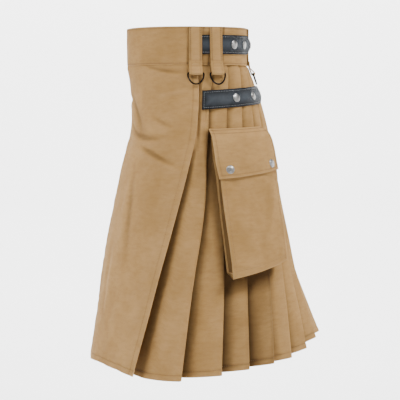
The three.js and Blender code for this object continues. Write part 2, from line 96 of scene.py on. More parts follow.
# Where each loop hangs, in mm round from centre front.
loopPlaces = {
    "left_front": 206,
    "left_rear": 244,
    "back_left": 365,
    "back_right": -365,
    "right_rear": -244,
    "right_front": -206,
}
pleatShape = {
    "drop": [68, 125, 190, 260, 340, 430, 520, 610],
    "depth": [4.2, 4.2, 7, 12, 18, 24, 30, 35],
    "underlap": [14, 15, 19, 24, 28, 32, 36, 39],
    "radius": [1.05, 1.05, 1.3, 1.7, 1.8, 2.2, 2.7, 3.2],
    "open": [0, 0, 0.35, 0.8, 1, 1, 1, 1],
}


def smoothTable(table, name):
    # A smooth curve through one column of a table, read at any drop.
    drops = np.array(table["drop"], float)
    values = np.array(table[name], float)

    def read(drop):
        drop = np.asarray(drop, float)
        i = np.clip(np.searchsorted(drops, drop, side="right") - 1, 0, len(drops) - 2)
        a = np.maximum(i - 1, 0)
        d = np.minimum(i + 2, len(drops) - 1)
        span = drops[i + 1] - drops[i]
        t = (drop - drops[i]) / span
        leave = (values[i + 1] - values[a]) / (drops[i + 1] - drops[a]) * span
        arrive = (values[d] - values[i]) / (drops[d] - drops[i]) * span
        t2 = t * t
        t3 = t2 * t
        return (
            (2 * t3 - 3 * t2 + 1) * values[i]
            + (t3 - 2 * t2 + t) * leave
            + (3 * t2 - 2 * t3) * values[i + 1]
            + (t3 - t2) * arrive
        )

    return read


outlineAt = {name: smoothTable(outline, name) for name in outline if name != "drop"}
apronEdge = smoothTable(apronHalf, "half")
pleatAt = {name: smoothTable(pleatShape, name) for name in pleatShape if name != "drop"}
foldAt = [smoothTable({"drop": foldDrops, "s": row}, "s") for row in foldRows]

innerShade = -0.12
creaseScale = 2.5
levelStep = 2.0
placeStep = 1.0
firstPlace = -900.0
lastPlace = 1700.0


def levelSection(drop):
    turn = np.linspace(0, 2 * math.pi, 721)
    sine, cosine = np.sin(turn), np.cos(turn)
    isFront = cosine > 0
    o = {name: float(read(drop)) for name, read in outlineAt.items()}
    power = 2 / np.where(isFront, o["squareFront"], o["squareBack"])
    x = o["side"] * np.sign(sine) * np.abs(sine) ** power
    y = -np.where(isFront, o["front"], o["back"]) * np.sign(cosine) * np.abs(cosine) ** power
    z = kilt["bandHeight"] / 2 - drop + o["lift"] * ((1 - cosine) / 2) ** 3
    run = np.concatenate([[0], np.cumsum(np.hypot(np.diff(x), np.diff(y)))])
    return np.stack([x, y, z], 1), run


def measureOutline():
    # The outline as a table of places: every 2 mm down and every 1 mm round.
    drops = np.arange(0, kilt["length"] + 24, levelStep)
    places = np.arange(firstPlace, lastPlace, placeStep)
    table = np.zeros((len(drops), len(places), 3))
    lengths = np.zeros(len(drops))
    for i, drop in enumerate(drops):
        points, run = levelSection(drop)
        lengths[i] = run[-1]
        wrapped = np.mod(places, run[-1])
        for axis in range(3):
            table[i, :, axis] = np.interp(wrapped, run, points[:, axis])
    along = np.zeros_like(table)
    reach = 4
    along[:, reach:-reach] = table[:, 2 * reach:] - table[:, :-2 * reach]
    out = np.stack([along[..., 1], -along[..., 0], np.zeros(along.shape[:2])], 2)
    out /= np.maximum(np.linalg.norm(out, axis=2, keepdims=True), 1e-9)
    return drops, table, out, lengths


levelDrops, placeTable, outTable, aroundTable = measureOutline()


def around(drop):
    return np.interp(drop, levelDrops, aroundTable)


def readPlaces(table, drop, s):
    a = np.clip(np.asarray(drop, float) / levelStep, 0, len(levelDrops) - 1.001)
    b = np.clip((np.asarray(s, float) - firstPlace) / placeStep, 0, table.shape[1] - 1.001)
    i, j = a.astype(int), b.astype(int)
    u, v = (a - i)[..., None], (b - j)[..., None]
    top = table[i, j] * (1 - v) + table[i, j + 1] * v
    low = table[i + 1, j] * (1 - v) + table[i + 1, j + 1] * v
    return top * (1 - u) + low * u


def clothPoint(drop, s, out):
    # A point in metres: drop below the rim, s round from centre front, out off the worn outline.
    # Everything on the skirt rides its slow waves together, so that its layers keep apart.
    drop, s, out = np.broadcast_arrays(*(np.asarray(v, float) for v in (drop, s, out)))
    out = out + skirtWave(drop, s)
    return (readPlaces(placeTable, drop, s) + readPlaces(outTable, drop, s) * out[..., None]) * mm


def skirtWave(drop, s):
    low = np.clip((drop - 140) / 300, 0, 1)
    cells = skirtWaves["cells"]
    share = np.mod(s / around(drop), 1) * cells
    slow = softNoise(share, drop / 240, skirtWaves["seed"], cells)
    full = np.exp(-((np.minimum(share, cells - share) / 1.3) ** 2))
    return low * (skirtWaves["deep"] * slow + skirtWaves["frontFull"] * full * low)


def softNoise(x, y, seed, closes=0):
    # Smooth value noise between -1 and 1 on a seeded lattice, one unit a cell. Where it goes
    # round the garment it closes on itself after that many cells.
    lattice = np.random.RandomState(seed).uniform(-1, 1, (64, 64))
    if closes:
        lattice[closes] = lattice[0]
    x, y = np.broadcast_arrays(np.asarray(x, float), np.asarray(y, float))
    i, j = np.floor(x).astype(int), np.floor(y).astype(int)
    u, v = x - i, y - j
    u = u * u * (3 - 2 * u)
    v = v * v * (3 - 2 * v)
    i0, i1, j0, j1 = i % 64, (i + 1) % 64, j % 64, (j + 1) % 64
    top = lattice[i0, j0] * (1 - u) + lattice[i1, j0] * u
    low = lattice[i0, j1] * (1 - u) + lattice[i1, j1] * u
    return top * (1 - v) + low * v


def nearest(values, place):
    return int(np.argmin(np.abs(values - place)))


def withRows(places, rows, clear, beside):
    # Puts a row at each seam, with one close on either side of it.
    for row in rows:
        places = places[np.abs(places - row) > clear]
        places = np.sort(np.append(places, [row - beside, row, row + beside]))
    return places


def camelName(kind, name):
    return kind + "".join(part.capitalize() for part in name.split("_"))


def frameMatrix(x, y, z, place):
    matrix = Matrix.Identity(4)
    for column, axis in enumerate((x, y, z, place)):
        for row in range(3):
            matrix[row][column] = axis[row]
    return matrix


def dress(piece, material, nodes=(), body="root"):
    piece.data.materials.append(material)
    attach(piece, body)
    if nodes:
        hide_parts(*nodes)


def newMesh(name, points, faces, uvs=None, wear=None):
    mesh = bpy.data.meshes.new(name)
    mesh.from_pydata(points.tolist(), [], faces.tolist() if hasattr(faces, "tolist") else faces)
    mesh.update()
    if uvs is not None:
        layer = mesh.uv_layers.new(name="cloth")
        corner = np.zeros(len(mesh.loops), dtype=np.int32)
        mesh.loops.foreach_get("vertex_index", corner)
        layer.data.foreach_set("uv", uvs[corner].astype(np.float32).ravel())
    # One value a point: above 0 the cloth is worn lighter, below 0 it is darkened as painted shade;
    # on the straps it also paints a sheen.
    if wear is not None:
        attribute = mesh.attributes.new("wear", "FLOAT", "POINT")
        attribute.data.foreach_set("value", wear.astype(np.float32).ravel())
    piece = bpy.data.objects.new(name, mesh)
    bpy.context.scene.collection.objects.link(piece)
    return piece


def shellFaces(rows, columns):
    # Quads of a closed wall whose outer grid comes first and whose inner grid follows.
    grid = np.arange(rows * columns).reshape(rows, columns)
    a, b, c, d = grid[:-1, :-1], grid[1:, :-1], grid[1:, 1:], grid[:-1, 1:]
    outer = np.stack([a, b, c, d], -1).reshape(-1, 4)
    inner = np.stack([a, d, c, b], -1).reshape(-1, 4) + rows * columns
    k = rows * columns
    first, last = grid[:, 0], grid[:, -1]
    top, foot = grid[0], grid[-1]
    edges = [
        np.stack([first[:-1], first[:-1] + k, first[1:] + k, first[1:]], -1),
        np.stack([last[:-1], last[1:], last[1:] + k, last[:-1] + k], -1),
        np.stack([top[:-1], top[1:], top[1:] + k, top[:-1] + k], -1),
        np.stack([foot[:-1], foot[:-1] + k, foot[1:] + k, foot[1:]], -1),
    ]
    return np.concatenate([outer, inner, *edges])


def roundFaces(rows, columns):
    # Quads of a grid whose last column joins its first.
    grid = np.arange(rows * columns).reshape(rows, columns)
    after = np.roll(grid, -1, axis=1)
    quads = np.stack([grid[:-1], grid[1:], after[1:], after[:-1]], -1).reshape(-1, 4)
    return grid, after, quads


def clothShell(name, outer, inner, u, v, wear):
    # A closed cloth wall between two grids of points; u and v are the cloth's own metres.
    rows, columns = outer.shape[:2]
    points = np.concatenate([outer.reshape(-1, 3), inner.reshape(-1, 3)])
    u, v, wear = (np.broadcast_to(x, (rows, columns)) for x in (u, v, wear))
    uvs = np.stack([np.tile(u.ravel(), 2), np.tile(v.ravel(), 2)], 1)
    # The shade under pockets and folds is the outer face's; the inner one takes little of it.
    inside = np.maximum(wear, innerShade)
    piece = newMesh(name, points, shellFaces(rows, columns), uvs,
                    np.concatenate([wear.ravel(), inside.ravel()]))
    for polygon in piece.data.polygons:
        polygon.use_smooth = True
    return piece


def spread(start, end, step, fine=(0.25, 0.6, 1.1, 2.0)):
    # Places from start to end, close together at both ends so that the edges can be rounded.
    count = max(int(round((end - start - 2 * fine[-1]) / step)), 1)
    middle = np.linspace(start + fine[-1], end - fine[-1], count + 1)
    head = start + np.array((0,) + fine[:-1])
    return np.concatenate([head, middle, (start + end) - head[::-1]])


def rounded(distance, thickness):
    # The share of its thickness that the cloth keeps so near an edge.
    t = np.clip(1 - distance / (0.7 * thickness), 0, 1)
    return 0.25 + 0.75 * np.sqrt(1 - t * t)


def glow(distance, reach):
    return np.exp(-((distance / reach) ** 2))


def creasesAt(drop, s, marks):
    # Soft troughs and ridges along slanting lines. Each mark gives its middle (drop and s), its
    # turn in degrees, and its length, width, depth and bow in mm.
    total = np.zeros(np.broadcast(drop, s).shape)
    for down, place, degrees, long, wide, deep, bow in marks:
        turn = math.radians(degrees)
        along = (s - place) * math.cos(turn) + (drop - down) * math.sin(turn)
        across = -(s - place) * math.sin(turn) + (drop - down) * math.cos(turn)
        across = across - bow * (along / long) ** 2
        line = glow(across, wide) - 0.45 * glow(across - wide * 1.7, wide * 1.3)
        total = total + creaseScale * deep * line * glow(along, long / 1.5)
    return total


def seamPucker(distance, run, seed):
    # The cloth draws in along a row of stitches and puckers beside it.
    ripple = softNoise(run / 5.5, np.zeros_like(run) + seed, 31)
    return glow(distance, 7) * ripple * 0.34 - 0.4 * glow(distance, 1.5)


def outwardAt(points):
    down = np.gradient(points, axis=0)
    along = np.gradient(points, axis=1)
    normal = np.cross(down, along)
    return normal / np.maximum(np.linalg.norm(normal, axis=2, keepdims=True), 1e-12)


def runAlong(points, axis):
    step = np.linalg.norm(np.diff(points, axis=axis), axis=2)
    shape = list(step.shape)
    shape[axis] = 1
    return np.concatenate([np.zeros(shape), np.cumsum(step, axis=axis)], axis=axis)


def clothPiece(name, drop, s, out, thick, wear, nodes, held, u=None, material=None):
    # One piece of cloth from the grid of its middle surface; all in mm but u, which is in metres.
    drop, s, out, thick, wear = np.broadcast_arrays(drop, s, out, thick, wear)
    points = clothPoint(drop, s, out)
    normal = outwardAt(points)
    half = normal * (thick[..., None] * mm / 2)
    across, down = runAlong(points, 1), runAlong(points, 0)
    if u is None:
        u = across - across[:, [across.shape[1] // 2]]
    piece = clothShell(name, points + half, points - half, u, down, np.clip(wear, -1, 1))
    dress(piece, material or canvas, nodes)
    if held:
        a, b = points[1:, 1:] - points[:-1, :-1], points[1:, :-1] - points[:-1, 1:]
        area = float(np.linalg.norm(np.cross(a, b), axis=2).sum() / 2)
    return {"outer": points + half, "normal": normal}


# Threads: every stitch is a small bead of thread laid along its seam.
thread = {"pitch": 3.3, "long": 2.5, "thick": 0.6, "proud": 0.1, "sides": 5}


def beadShape():
    sides = thread["sides"]
    turn = np.arange(sides) * 2 * math.pi / sides
    points = [(-0.5, 0, 0)]
    for place, size in ((-0.3, 0.8), (0, 1), (0.3, 0.8)):
        points += [(place, size * math.cos(a) / 2, size * math.sin(a) / 2) for a in turn]
    points.append((0.5, 0, 0))
    faces = []
    for k in range(sides):
        n = (k + 1) % sides
        faces.append((0, 1 + n, 1 + k))
        for ring in (0, 1):
            a, b = 1 + ring * sides, 1 + (ring + 1) * sides
            faces += [(a + k, a + n, b + n), (a + k, b + n, b + k)]
        tail = 1 + 2 * sides
        faces.append((len(points) - 1, tail + k, tail + n))
    return np.array(points), np.array(faces)


def seam(points, normals):
    # Where each stitch of one seam lies: its middle, its direction and the way out of the cloth.
    run = np.concatenate([[0], np.cumsum(np.linalg.norm(np.diff(points, axis=0), axis=1))]) / mm
    count = max(int(run[-1] // thread["pitch"]), 1)
    at = (np.arange(count) + 0.5) * run[-1] / count

    def read(values, places):
        return np.stack([np.interp(places, run, values[:, k]) for k in range(3)], 1)

    middle, normal = read(points, at), read(normals, at)
    along = read(points, at + 1) - read(points, at - 1)
    along /= np.maximum(np.linalg.norm(along, axis=1, keepdims=True), 1e-12)
    normal -= (normal * along).sum(1, keepdims=True) * along
    normal /= np.maximum(np.linalg.norm(normal, axis=1, keepdims=True), 1e-12)
    return middle + normal * thread["proud"] * mm, along, normal


def seamAt(drop, s, out):
    # A seam given by arrays of drop, s and out, on the outer face of the cloth.
    drop, s, out = (np.asarray(v, float) for v in np.broadcast_arrays(drop, s, out))
    points = clothPoint(drop, s, out)
    side = clothPoint(drop, s + 3, out) - clothPoint(drop, s - 3, out)
    down = clothPoint(drop + 3, s, out) - clothPoint(drop - 3, s, out)
    normal = np.cross(down, side)
    return seam(points, normal / np.linalg.norm(normal, axis=1, keepdims=True))


def seamThrough(made, rows, columns):
    # A seam through fractional rows and columns of a cloth piece's outer grid.
    def read(grid):
        i = np.clip(rows.astype(int), 0, grid.shape[0] - 2)
        j = np.clip(columns.astype(int), 0, grid.shape[1] - 2)
        u, v = (rows - i)[:, None], (columns - j)[:, None]
        top = grid[i, j] * (1 - v) + grid[i, j + 1] * v
        low = grid[i + 1, j] * (1 - v) + grid[i + 1, j + 1] * v
        return top * (1 - u) + low * u

    return seam(read(made["outer"]), read(made["normal"]))


def seamOn(made, row=None, column=None, first=0, last=None):
    # A seam along one row or column of a cloth piece's outer grid.
    part = slice(first, last)
    if row is not None:
        return seam(made["outer"][row, part], made["normal"][row, part])
    return seam(made["outer"][part, column], made["normal"][part, column])


def stitches(name, seams, material=None, thick=thread["thick"]):
    shape, faces = beadShape()
    size = np.array([thread["long"], thick, thick]) * mm
    local = shape * size
    allPoints, allFaces, count = [], [], 0
    for middle, along, normal in seams:
        side = np.cross(normal, along)
        points = (
            middle[:, None]
            + local[None, :, 0:1] * along[:, None]
            + local[None, :, 1:2] * side[:, None]
            + local[None, :, 2:3] * normal[:, None]
        )
        starts = count + np.arange(len(middle))[:, None, None] * len(shape)
        allFaces.append((faces[None] + starts).reshape(-1, 3))
        allPoints.append(points.reshape(-1, 3))
        count += len(middle) * len(shape)
    piece = newMesh(name, np.concatenate(allPoints), np.concatenate(allFaces))
    piece.data.shade_smooth()
    dress(piece, material or sewingThread)


def nodeMaker(name):
    material = bpy.data.materials.new(name)
    material.use_nodes = True
    tree = material.node_tree
    tree.nodes.clear()

    def make(kind, settings=None, **values):
        node = tree.nodes.new(kind)
        for key, value in (settings or {}).items():
            setattr(node, key, value)
        for key, value in values.items():
            node.inputs[key].default_value = value
        return node

    def join(source, output, target, slot):
        tree.links.new(source.outputs[output], target.inputs[slot])

    return material, make, join


def blendColour(make, join, factor, output, first, second):
    mix = make("ShaderNodeMix", {"data_type": "RGBA"})
    join(factor, output, mix, 0)
    for place, colour in ((6, first), (7, second)):
        if len(colour) == 4:
            mix.inputs[place].default_value = colour
        else:
            join(colour[0], colour[1], mix, place)
    return mix


def ramp(make, join, source, output, fromMin, fromMax, toMin, toMax):
    limits = {"From Min": fromMin, "From Max": fromMax, "To Min": toMin, "To Max": toMax}
    node = make("ShaderNodeMapRange", **limits)
    join(source, output, node, "Value")
    return node


def finishSurface(make, join, colour, output, bump=None, gloss=None, **values):
    shader = make("ShaderNodeBsdfPrincipled", **values)
    join(colour, output, shader, "Base Color")
    if gloss:
        join(gloss, "Result", shader, "Roughness")
    if bump:
        join(bump, "Normal", shader, "Normal")
    join(shader, "BSDF", make("ShaderNodeOutputMaterial"), "Surface")


# Cotton canvas: twill ribs and slubs on the cloth's own measure, faded along seams and folds, and
# darkened where shade is painted.
canvasLook = {
    "dark": (0.23, 0.125, 0.044, 1),
    "main": (0.335, 0.19, 0.066, 1),
    "light": (0.415, 0.243, 0.091, 1),
    "faded": (0.54, 0.34, 0.155, 1),
    # The deep colour is mostly painted shade, and in places a deeper random tone of the cloth.
    "deepToneAndShade": (0.07, 0.037, 0.014, 1),
    "ribEvery": 0.00115,
    "roughness": 0.88,
}


def canvasMaterial():
    material, make, join = nodeMaker("khaki canvas")
    uv = make("ShaderNodeUVMap", {"uv_map": "cloth"})
    ribs = make("ShaderNodeTexWave", {"wave_type": "BANDS", "bands_direction": "DIAGONAL"})
    ribs.inputs["Scale"].default_value = 0.314 / canvasLook["ribEvery"]
    ribs.inputs["Distortion"].default_value = 0.8
    ribs.inputs["Detail"].default_value = 1
    noises = {}
    kinds = (("slub", 900, 3), ("cloud", 14, 5), ("grain", 140, 4), ("streak", 60, 3))
    for name, scale, detail in kinds:
        noises[name] = make("ShaderNodeTexNoise", Scale=scale, Detail=detail, Roughness=0.6)
    for texture in (ribs, noises["slub"], noises["cloud"], noises["streak"]):
        join(uv, "UV", texture, "Vector")
    stretched = make("ShaderNodeMapping")
    stretched.inputs["Scale"].default_value = (0.4, 1.15, 1)
    join(uv, "UV", stretched, "Vector")
    join(stretched, "Vector", noises["grain"], "Vector")
    clouded = ramp(make, join, noises["cloud"], "Fac", 0.36, 0.64, 0, 1)
    base = blendColour(make, join, clouded, "Result", canvasLook["main"], canvasLook["light"])
    grained = ramp(make, join, noises["grain"], "Fac", 0.42, 0.8, 0, 0.42)
    mottled = blendColour(make, join, grained, "Result", (base, 2), canvasLook["dark"])
    wear = make("ShaderNodeAttribute", {"attribute_name": "wear"})
    rubbed = ramp(make, join, noises["streak"], "Fac", 0.25, 0.75, 0.35, 1)
    fade = make("ShaderNodeMath", {"operation": "MULTIPLY", "use_clamp": True})
    join(wear, "Fac", fade, 0)
    join(rubbed, "Result", fade, 1)
    toneShift = blendColour(make, join, fade, "Value", (mottled, 2), canvasLook["faded"])
    # Below 0 the attribute darkens the cloth towards the deep colour: mostly painted shade in
    # folds, creases, stitching, recesses and under pockets, in places a deeper random tone.
    deepToneAndShadeAmount = ramp(make, join, wear, "Fac", 0, -1, 0, 1)
    deepened = blendColour(make, join, deepToneAndShadeAmount, "Result", (toneShift, 2), canvasLook["deepToneAndShade"])
    ribTone = ramp(make, join, ribs, "Fac", 0, 1, 0.88, 1.06)
    toned = make("ShaderNodeVectorMath", {"operation": "SCALE"})
    join(deepened, 2, toned, 0)
    join(ribTone, "Result", toned, "Scale")
    weave = make("ShaderNodeMath", {"operation": "ADD"})
    join(ribs, "Fac", weave, 0)
    join(noises["slub"], "Fac", weave, 1)
    fine = make("ShaderNodeBump", Strength=0.4, Distance=0.0003)
    join(weave, "Value", fine, "Height")
    soft = make("ShaderNodeBump", Strength=0.35, Distance=0.0012)
    join(noises["grain"], "Fac", soft, "Height")
    join(fine, "Normal", soft, "Normal")
    sheen = {"Sheen Weight": 0.01, "Sheen Roughness": 0.5, "Specular IOR Level": 0.06}
    finishSurface(make, join, toned, "Vector", soft, Roughness=canvasLook["roughness"], **sheen)
    return material


def threadMaterial(name, dark, light, roughness):
    material, make, join = nodeMaker(name)
    place = make("ShaderNodeTexCoord")
    noise = make("ShaderNodeTexNoise", Scale=500.0, Detail=2.0)
    join(place, "Object", noise, "Vector")
    tone = ramp(make, join, noise, "Fac", 0.3, 0.7, 0, 1)
    colour = blendColour(make, join, tone, "Result", dark, light)
    bump = make("ShaderNodeBump", Strength=0.5, Distance=0.0002)
    join(noise, "Fac", bump, "Height")
    finishSurface(make, join, colour, 2, bump, Roughness=roughness)
    return material


leatherLook = {
    "main": (0.0025, 0.003, 0.004, 1),
    # The rubbed colour serves the leather's mottling and also lightens the middle of each strap as
    # a painted sheen.
    "rubbed": (0.04, 0.047, 0.056, 1),
    "roughness": (0.4, 0.56),
}


def leatherMaterial():
    material, make, join = nodeMaker("black leather")
    uv = make("ShaderNodeUVMap", {"uv_map": "cloth"})
    grain = make("ShaderNodeTexVoronoi", {"feature": "DISTANCE_TO_EDGE"}, Scale=780.0)
    pores = make("ShaderNodeTexNoise", Scale=1500.0, Detail=3.0)
    cloud = make("ShaderNodeTexNoise", Scale=70.0, Detail=4.0)
    for texture in (grain, pores, cloud):
        join(uv, "UV", texture, "Vector")
    wear = make("ShaderNodeAttribute", {"attribute_name": "wear"})
    mottle = ramp(make, join, cloud, "Fac", 0.35, 0.7, 0.02, 0.3)
    toneShift = make("ShaderNodeMath", {"operation": "ADD", "use_clamp": True})
    join(wear, "Fac", toneShift, 0)
    join(mottle, "Result", toneShift, 1)
    colour = blendColour(make, join, toneShift, "Value", leatherLook["main"], leatherLook["rubbed"])
    gloss = ramp(make, join, cloud, "Fac", 0.3, 0.7, *leatherLook["roughness"])
    creased = ramp(make, join, grain, "Distance", 0, 0.12, 0, 1)
    height = make("ShaderNodeMath", {"operation": "ADD"})
    join(creased, "Result", height, 0)
    join(pores, "Fac", height, 1)
    bump = make("ShaderNodeBump", Strength=0.35, Distance=0.00025)
    join(height, "Value", bump, "Height")
    finishSurface(make, join, colour, 2, bump, gloss, **{"Specular IOR Level": 0.16})
    return material


def metalMaterial(name, colour, rubbed, roughness):
    material, make, join = nodeMaker(name)
    place = make("ShaderNodeTexCoord")
    scuff = make("ShaderNodeTexNoise", Scale=420.0, Detail=4.0)
    fine = make("ShaderNodeTexNoise", Scale=2200.0, Detail=2.0)
    for texture in (scuff, fine):
        join(place, "Object", texture, "Vector")
    tone = ramp(make, join, scuff, "Fac", 0.35, 0.75, 0, 1)
    mixed = blendColour(make, join, tone, "Result", colour, rubbed)
    gloss = ramp(make, join, scuff, "Fac", 0.3, 0.7, *roughness)
    bump = make("ShaderNodeBump", Strength=0.12, Distance=0.0001)
    join(fine, "Fac", bump, "Height")
    finishSurface(make, join, mixed, 2, bump, gloss, Metallic=1.0)
    return material


canvas = canvasMaterial()
sewingThread = threadMaterial("khaki thread", (0.12, 0.066, 0.026, 1), (0.22, 0.13, 0.055, 1), 0.7)
# The loops' thread is a darker copy of the khaki thread, as painted shade on their stitching.
shadedLoopThread = threadMaterial("loop thread darkened as painted shade", (0.06, 0.035, 0.018, 1), (0.12, 0.07, 0.035, 1), 0.7)
darkThread = threadMaterial("grey thread", (0.16, 0.17, 0.18, 1), (0.30, 0.31, 0.32, 1), 0.6)
leather = leatherMaterial()
metalGloss = (0.26, 0.4)
ringMetal = metalMaterial(
    "black nickel", (0.007, 0.006, 0.0055, 1), (0.025, 0.021, 0.019, 1), metalGloss)
snapMetal = metalMaterial(
    "satin nickel", (0.40, 0.392, 0.38, 1), (0.23, 0.222, 0.21, 1), metalGloss)
print("materials made")

# The skirt's cloth: sizes in mm, used by the aprons and every pleat.
skirtLook = {
    "rows": 4.2,
    "hemFold": 9,
    "hemThicker": 0.7,
    "foldWander": 1.5,
    "behindBand": 14,
    "behindBandIn": 3.4,
    "faceRelief": 2.0,
}
hemSeamDrop = kilt["length"] - skirtLook["hemFold"] - 1


def skirtDrops(step, behindBand=0):
    top = kilt["bandHeight"] + kilt["seamGap"] - behindBand
    return withRows(spread(top, kilt["length"], step), [hemSeamDrop], 1.2, 1.1)


# How much longer, in mm, the hem hangs at places round each half of the apron, and each pleat's
# hem where its face comes out and at its folded edge.
apronHemLine = {
    "s": [0, 20, 45, 74, 107, 154, 185, 199, 213],
    "longer": [0, -3, -6.5, -8.5, -9, -6.5, -1.5, 1, 3],
}
pleatHemLine = [
    (3, 6), (3, 3.5), (0.5, 2), (-1, 4), (3, 6.5), (5, 5), (2, 1),
    (1, 3), (-1, 2), (0, 3), (-2, 1.5), (1, 3.5), (0, 2.5), (1, 4),
]

# How much lighter each pleat is lower down; the third and fourth pleats' deep values are painted
# shade, the rest differ at random, and below 0 the cloth is darker.
pleatToneAndShade = [0.08, 0.0, -0.24, -0.46, 0.14, 0.0, -0.12, 0.08, -0.15, 0.05, 0.1, -0.2, 0.0, -0.12]


def shadeUnderPocket(drop, s):
    # Painted shade on the cloth behind and just before each pocket, where the pocket casts its
    # shadow.
    whole = around(drop)
    fromFront = np.mod(s, whole)
    fromFront = np.minimum(fromFront, whole - fromFront)
    front = np.interp(drop, pocketEdges["drop"], pocketEdges["front"])
    rear = np.interp(drop, pocketEdges["drop"], pocketEdges["rear"])
    across = np.clip((fromFront - front + 19) / 13, 0, 1)
    across = across * np.clip((rear + 8 - fromFront) / 8, 0, 1)
    return across * np.clip((drop - 178) / 10, 0, 1) * np.clip((484 - drop) / 36, 0, 1)


def shadeBesideLoops(drop, s):
    # Painted shadow of each loop on the band and apron just beside it, near the top.
    whole = around(drop)
    shade = 0
    for place in loopPlaces.values():
        away = np.abs(np.mod(s - place + whole / 2, whole) - whole / 2)
        shade = shade + glow(away - 13.2, 1.5)
    return shade * np.clip((92 - drop) / 10, 0, 1)


def hemHang(drop):
    # The hem's own line fades out further up the cloth.
    return np.clip((drop - 260) / 350, 0, 1) ** 1.6


def hemThickness(drop):
    # The hem is turned up, so the cloth is thicker there.
    edge = kilt["length"] - drop
    turned = np.clip((skirtLook["hemFold"] + 1.5 - edge) / 1.5, 0, 1)
    return (kilt["cloth"] + skirtLook["hemThicker"] * turned) * rounded(edge, 1.6)


def hemRelief(drop, run, seed):
    # Drawn in along the hem's stitches, with soft waves in the turned-up edge.
    return seamPucker(drop - hemSeamDrop, run, seed) * 1.3


def hemWearAndShade(drop):
    # The hem's folded edge is worn lighter; the line of its stitching is darkened as painted shade.
    edge = kilt["length"] - drop
    return 0.5 * glow(edge, 1.2) - 0.35 * glow(edge - skirtLook["hemFold"] - 1, 1.2)


def clothRelief(drop, s, seed):
    # Long soft hollows that hang down the cloth, with finer handling creases over them.
    free = np.clip((drop - 90) / 260, 0, 1)
    long = softNoise(s / 46, drop / 190, seed) * 0.75
    small = softNoise((s + 0.5 * drop) / 17, (drop - 0.4 * s) / 31, seed + 1) * 0.62
    fine = softNoise((s - 0.3 * drop) / 24, drop / 8, seed + 2) * 0.3
    return skirtLook["faceRelief"] * free * long + (small * 1.25 + fine * 1.5) * (0.5 + 0.5 * free)


def tuckUnderApron(drop):
    share = (drop / kilt["length"]) ** 1.5
    return kilt["tuckAtWaist"] + (kilt["tuckAtHem"] - kilt["tuckAtWaist"]) * share


def underApronOut(drop):
    return -kilt["pleatInset"] - kilt["cloth"] / 2 - pleatAt["depth"](drop) * 0.5 - 1.8


def foldPlace(index, drop):
    # Pressed in near the waist, the folded edge wanders a little where it swings free.
    free = np.clip((drop - 170) / 200, 0, 1)
    wander = softNoise(np.full_like(drop, index * 3.7), drop / 120, 11)
    return foldAt[index](drop) + skirtLook["foldWander"] * wander * free


def arcRun(s, out, radius, start, end, count):
    turn = np.linspace(start, end, count)[None, :]
    reach = radius[:, None]
    return s[:, None] + reach * np.cos(turn), out[:, None] + reach * np.sin(turn)


# The first and last pleat draw up in short folds where they open below the straps.
pleatCreases = [
    [
        (160, 222, 76, 56, 3, -1.3, 0),
        (166, 238, 84, 44, 3, -1.2, 0),
        (206, 246, 66, 44, 3.6, 1.0, 0),
        (250, 262, 30, 26, 4, -0.6, 0),
        (330, 280, 14, 34, 5, -0.7, 0),
        (420, 292, -10, 36, 5.5, -0.8, 0),
        (505, 296, 8, 40, 6, -0.8, 0),
    ],
    [
        (300, 800, 10, 34, 5, -0.7, 0),
        (400, 900, -12, 36, 5.5, -0.8, 0),
        (500, 990, 8, 40, 6, -0.7, 0),
    ],
]


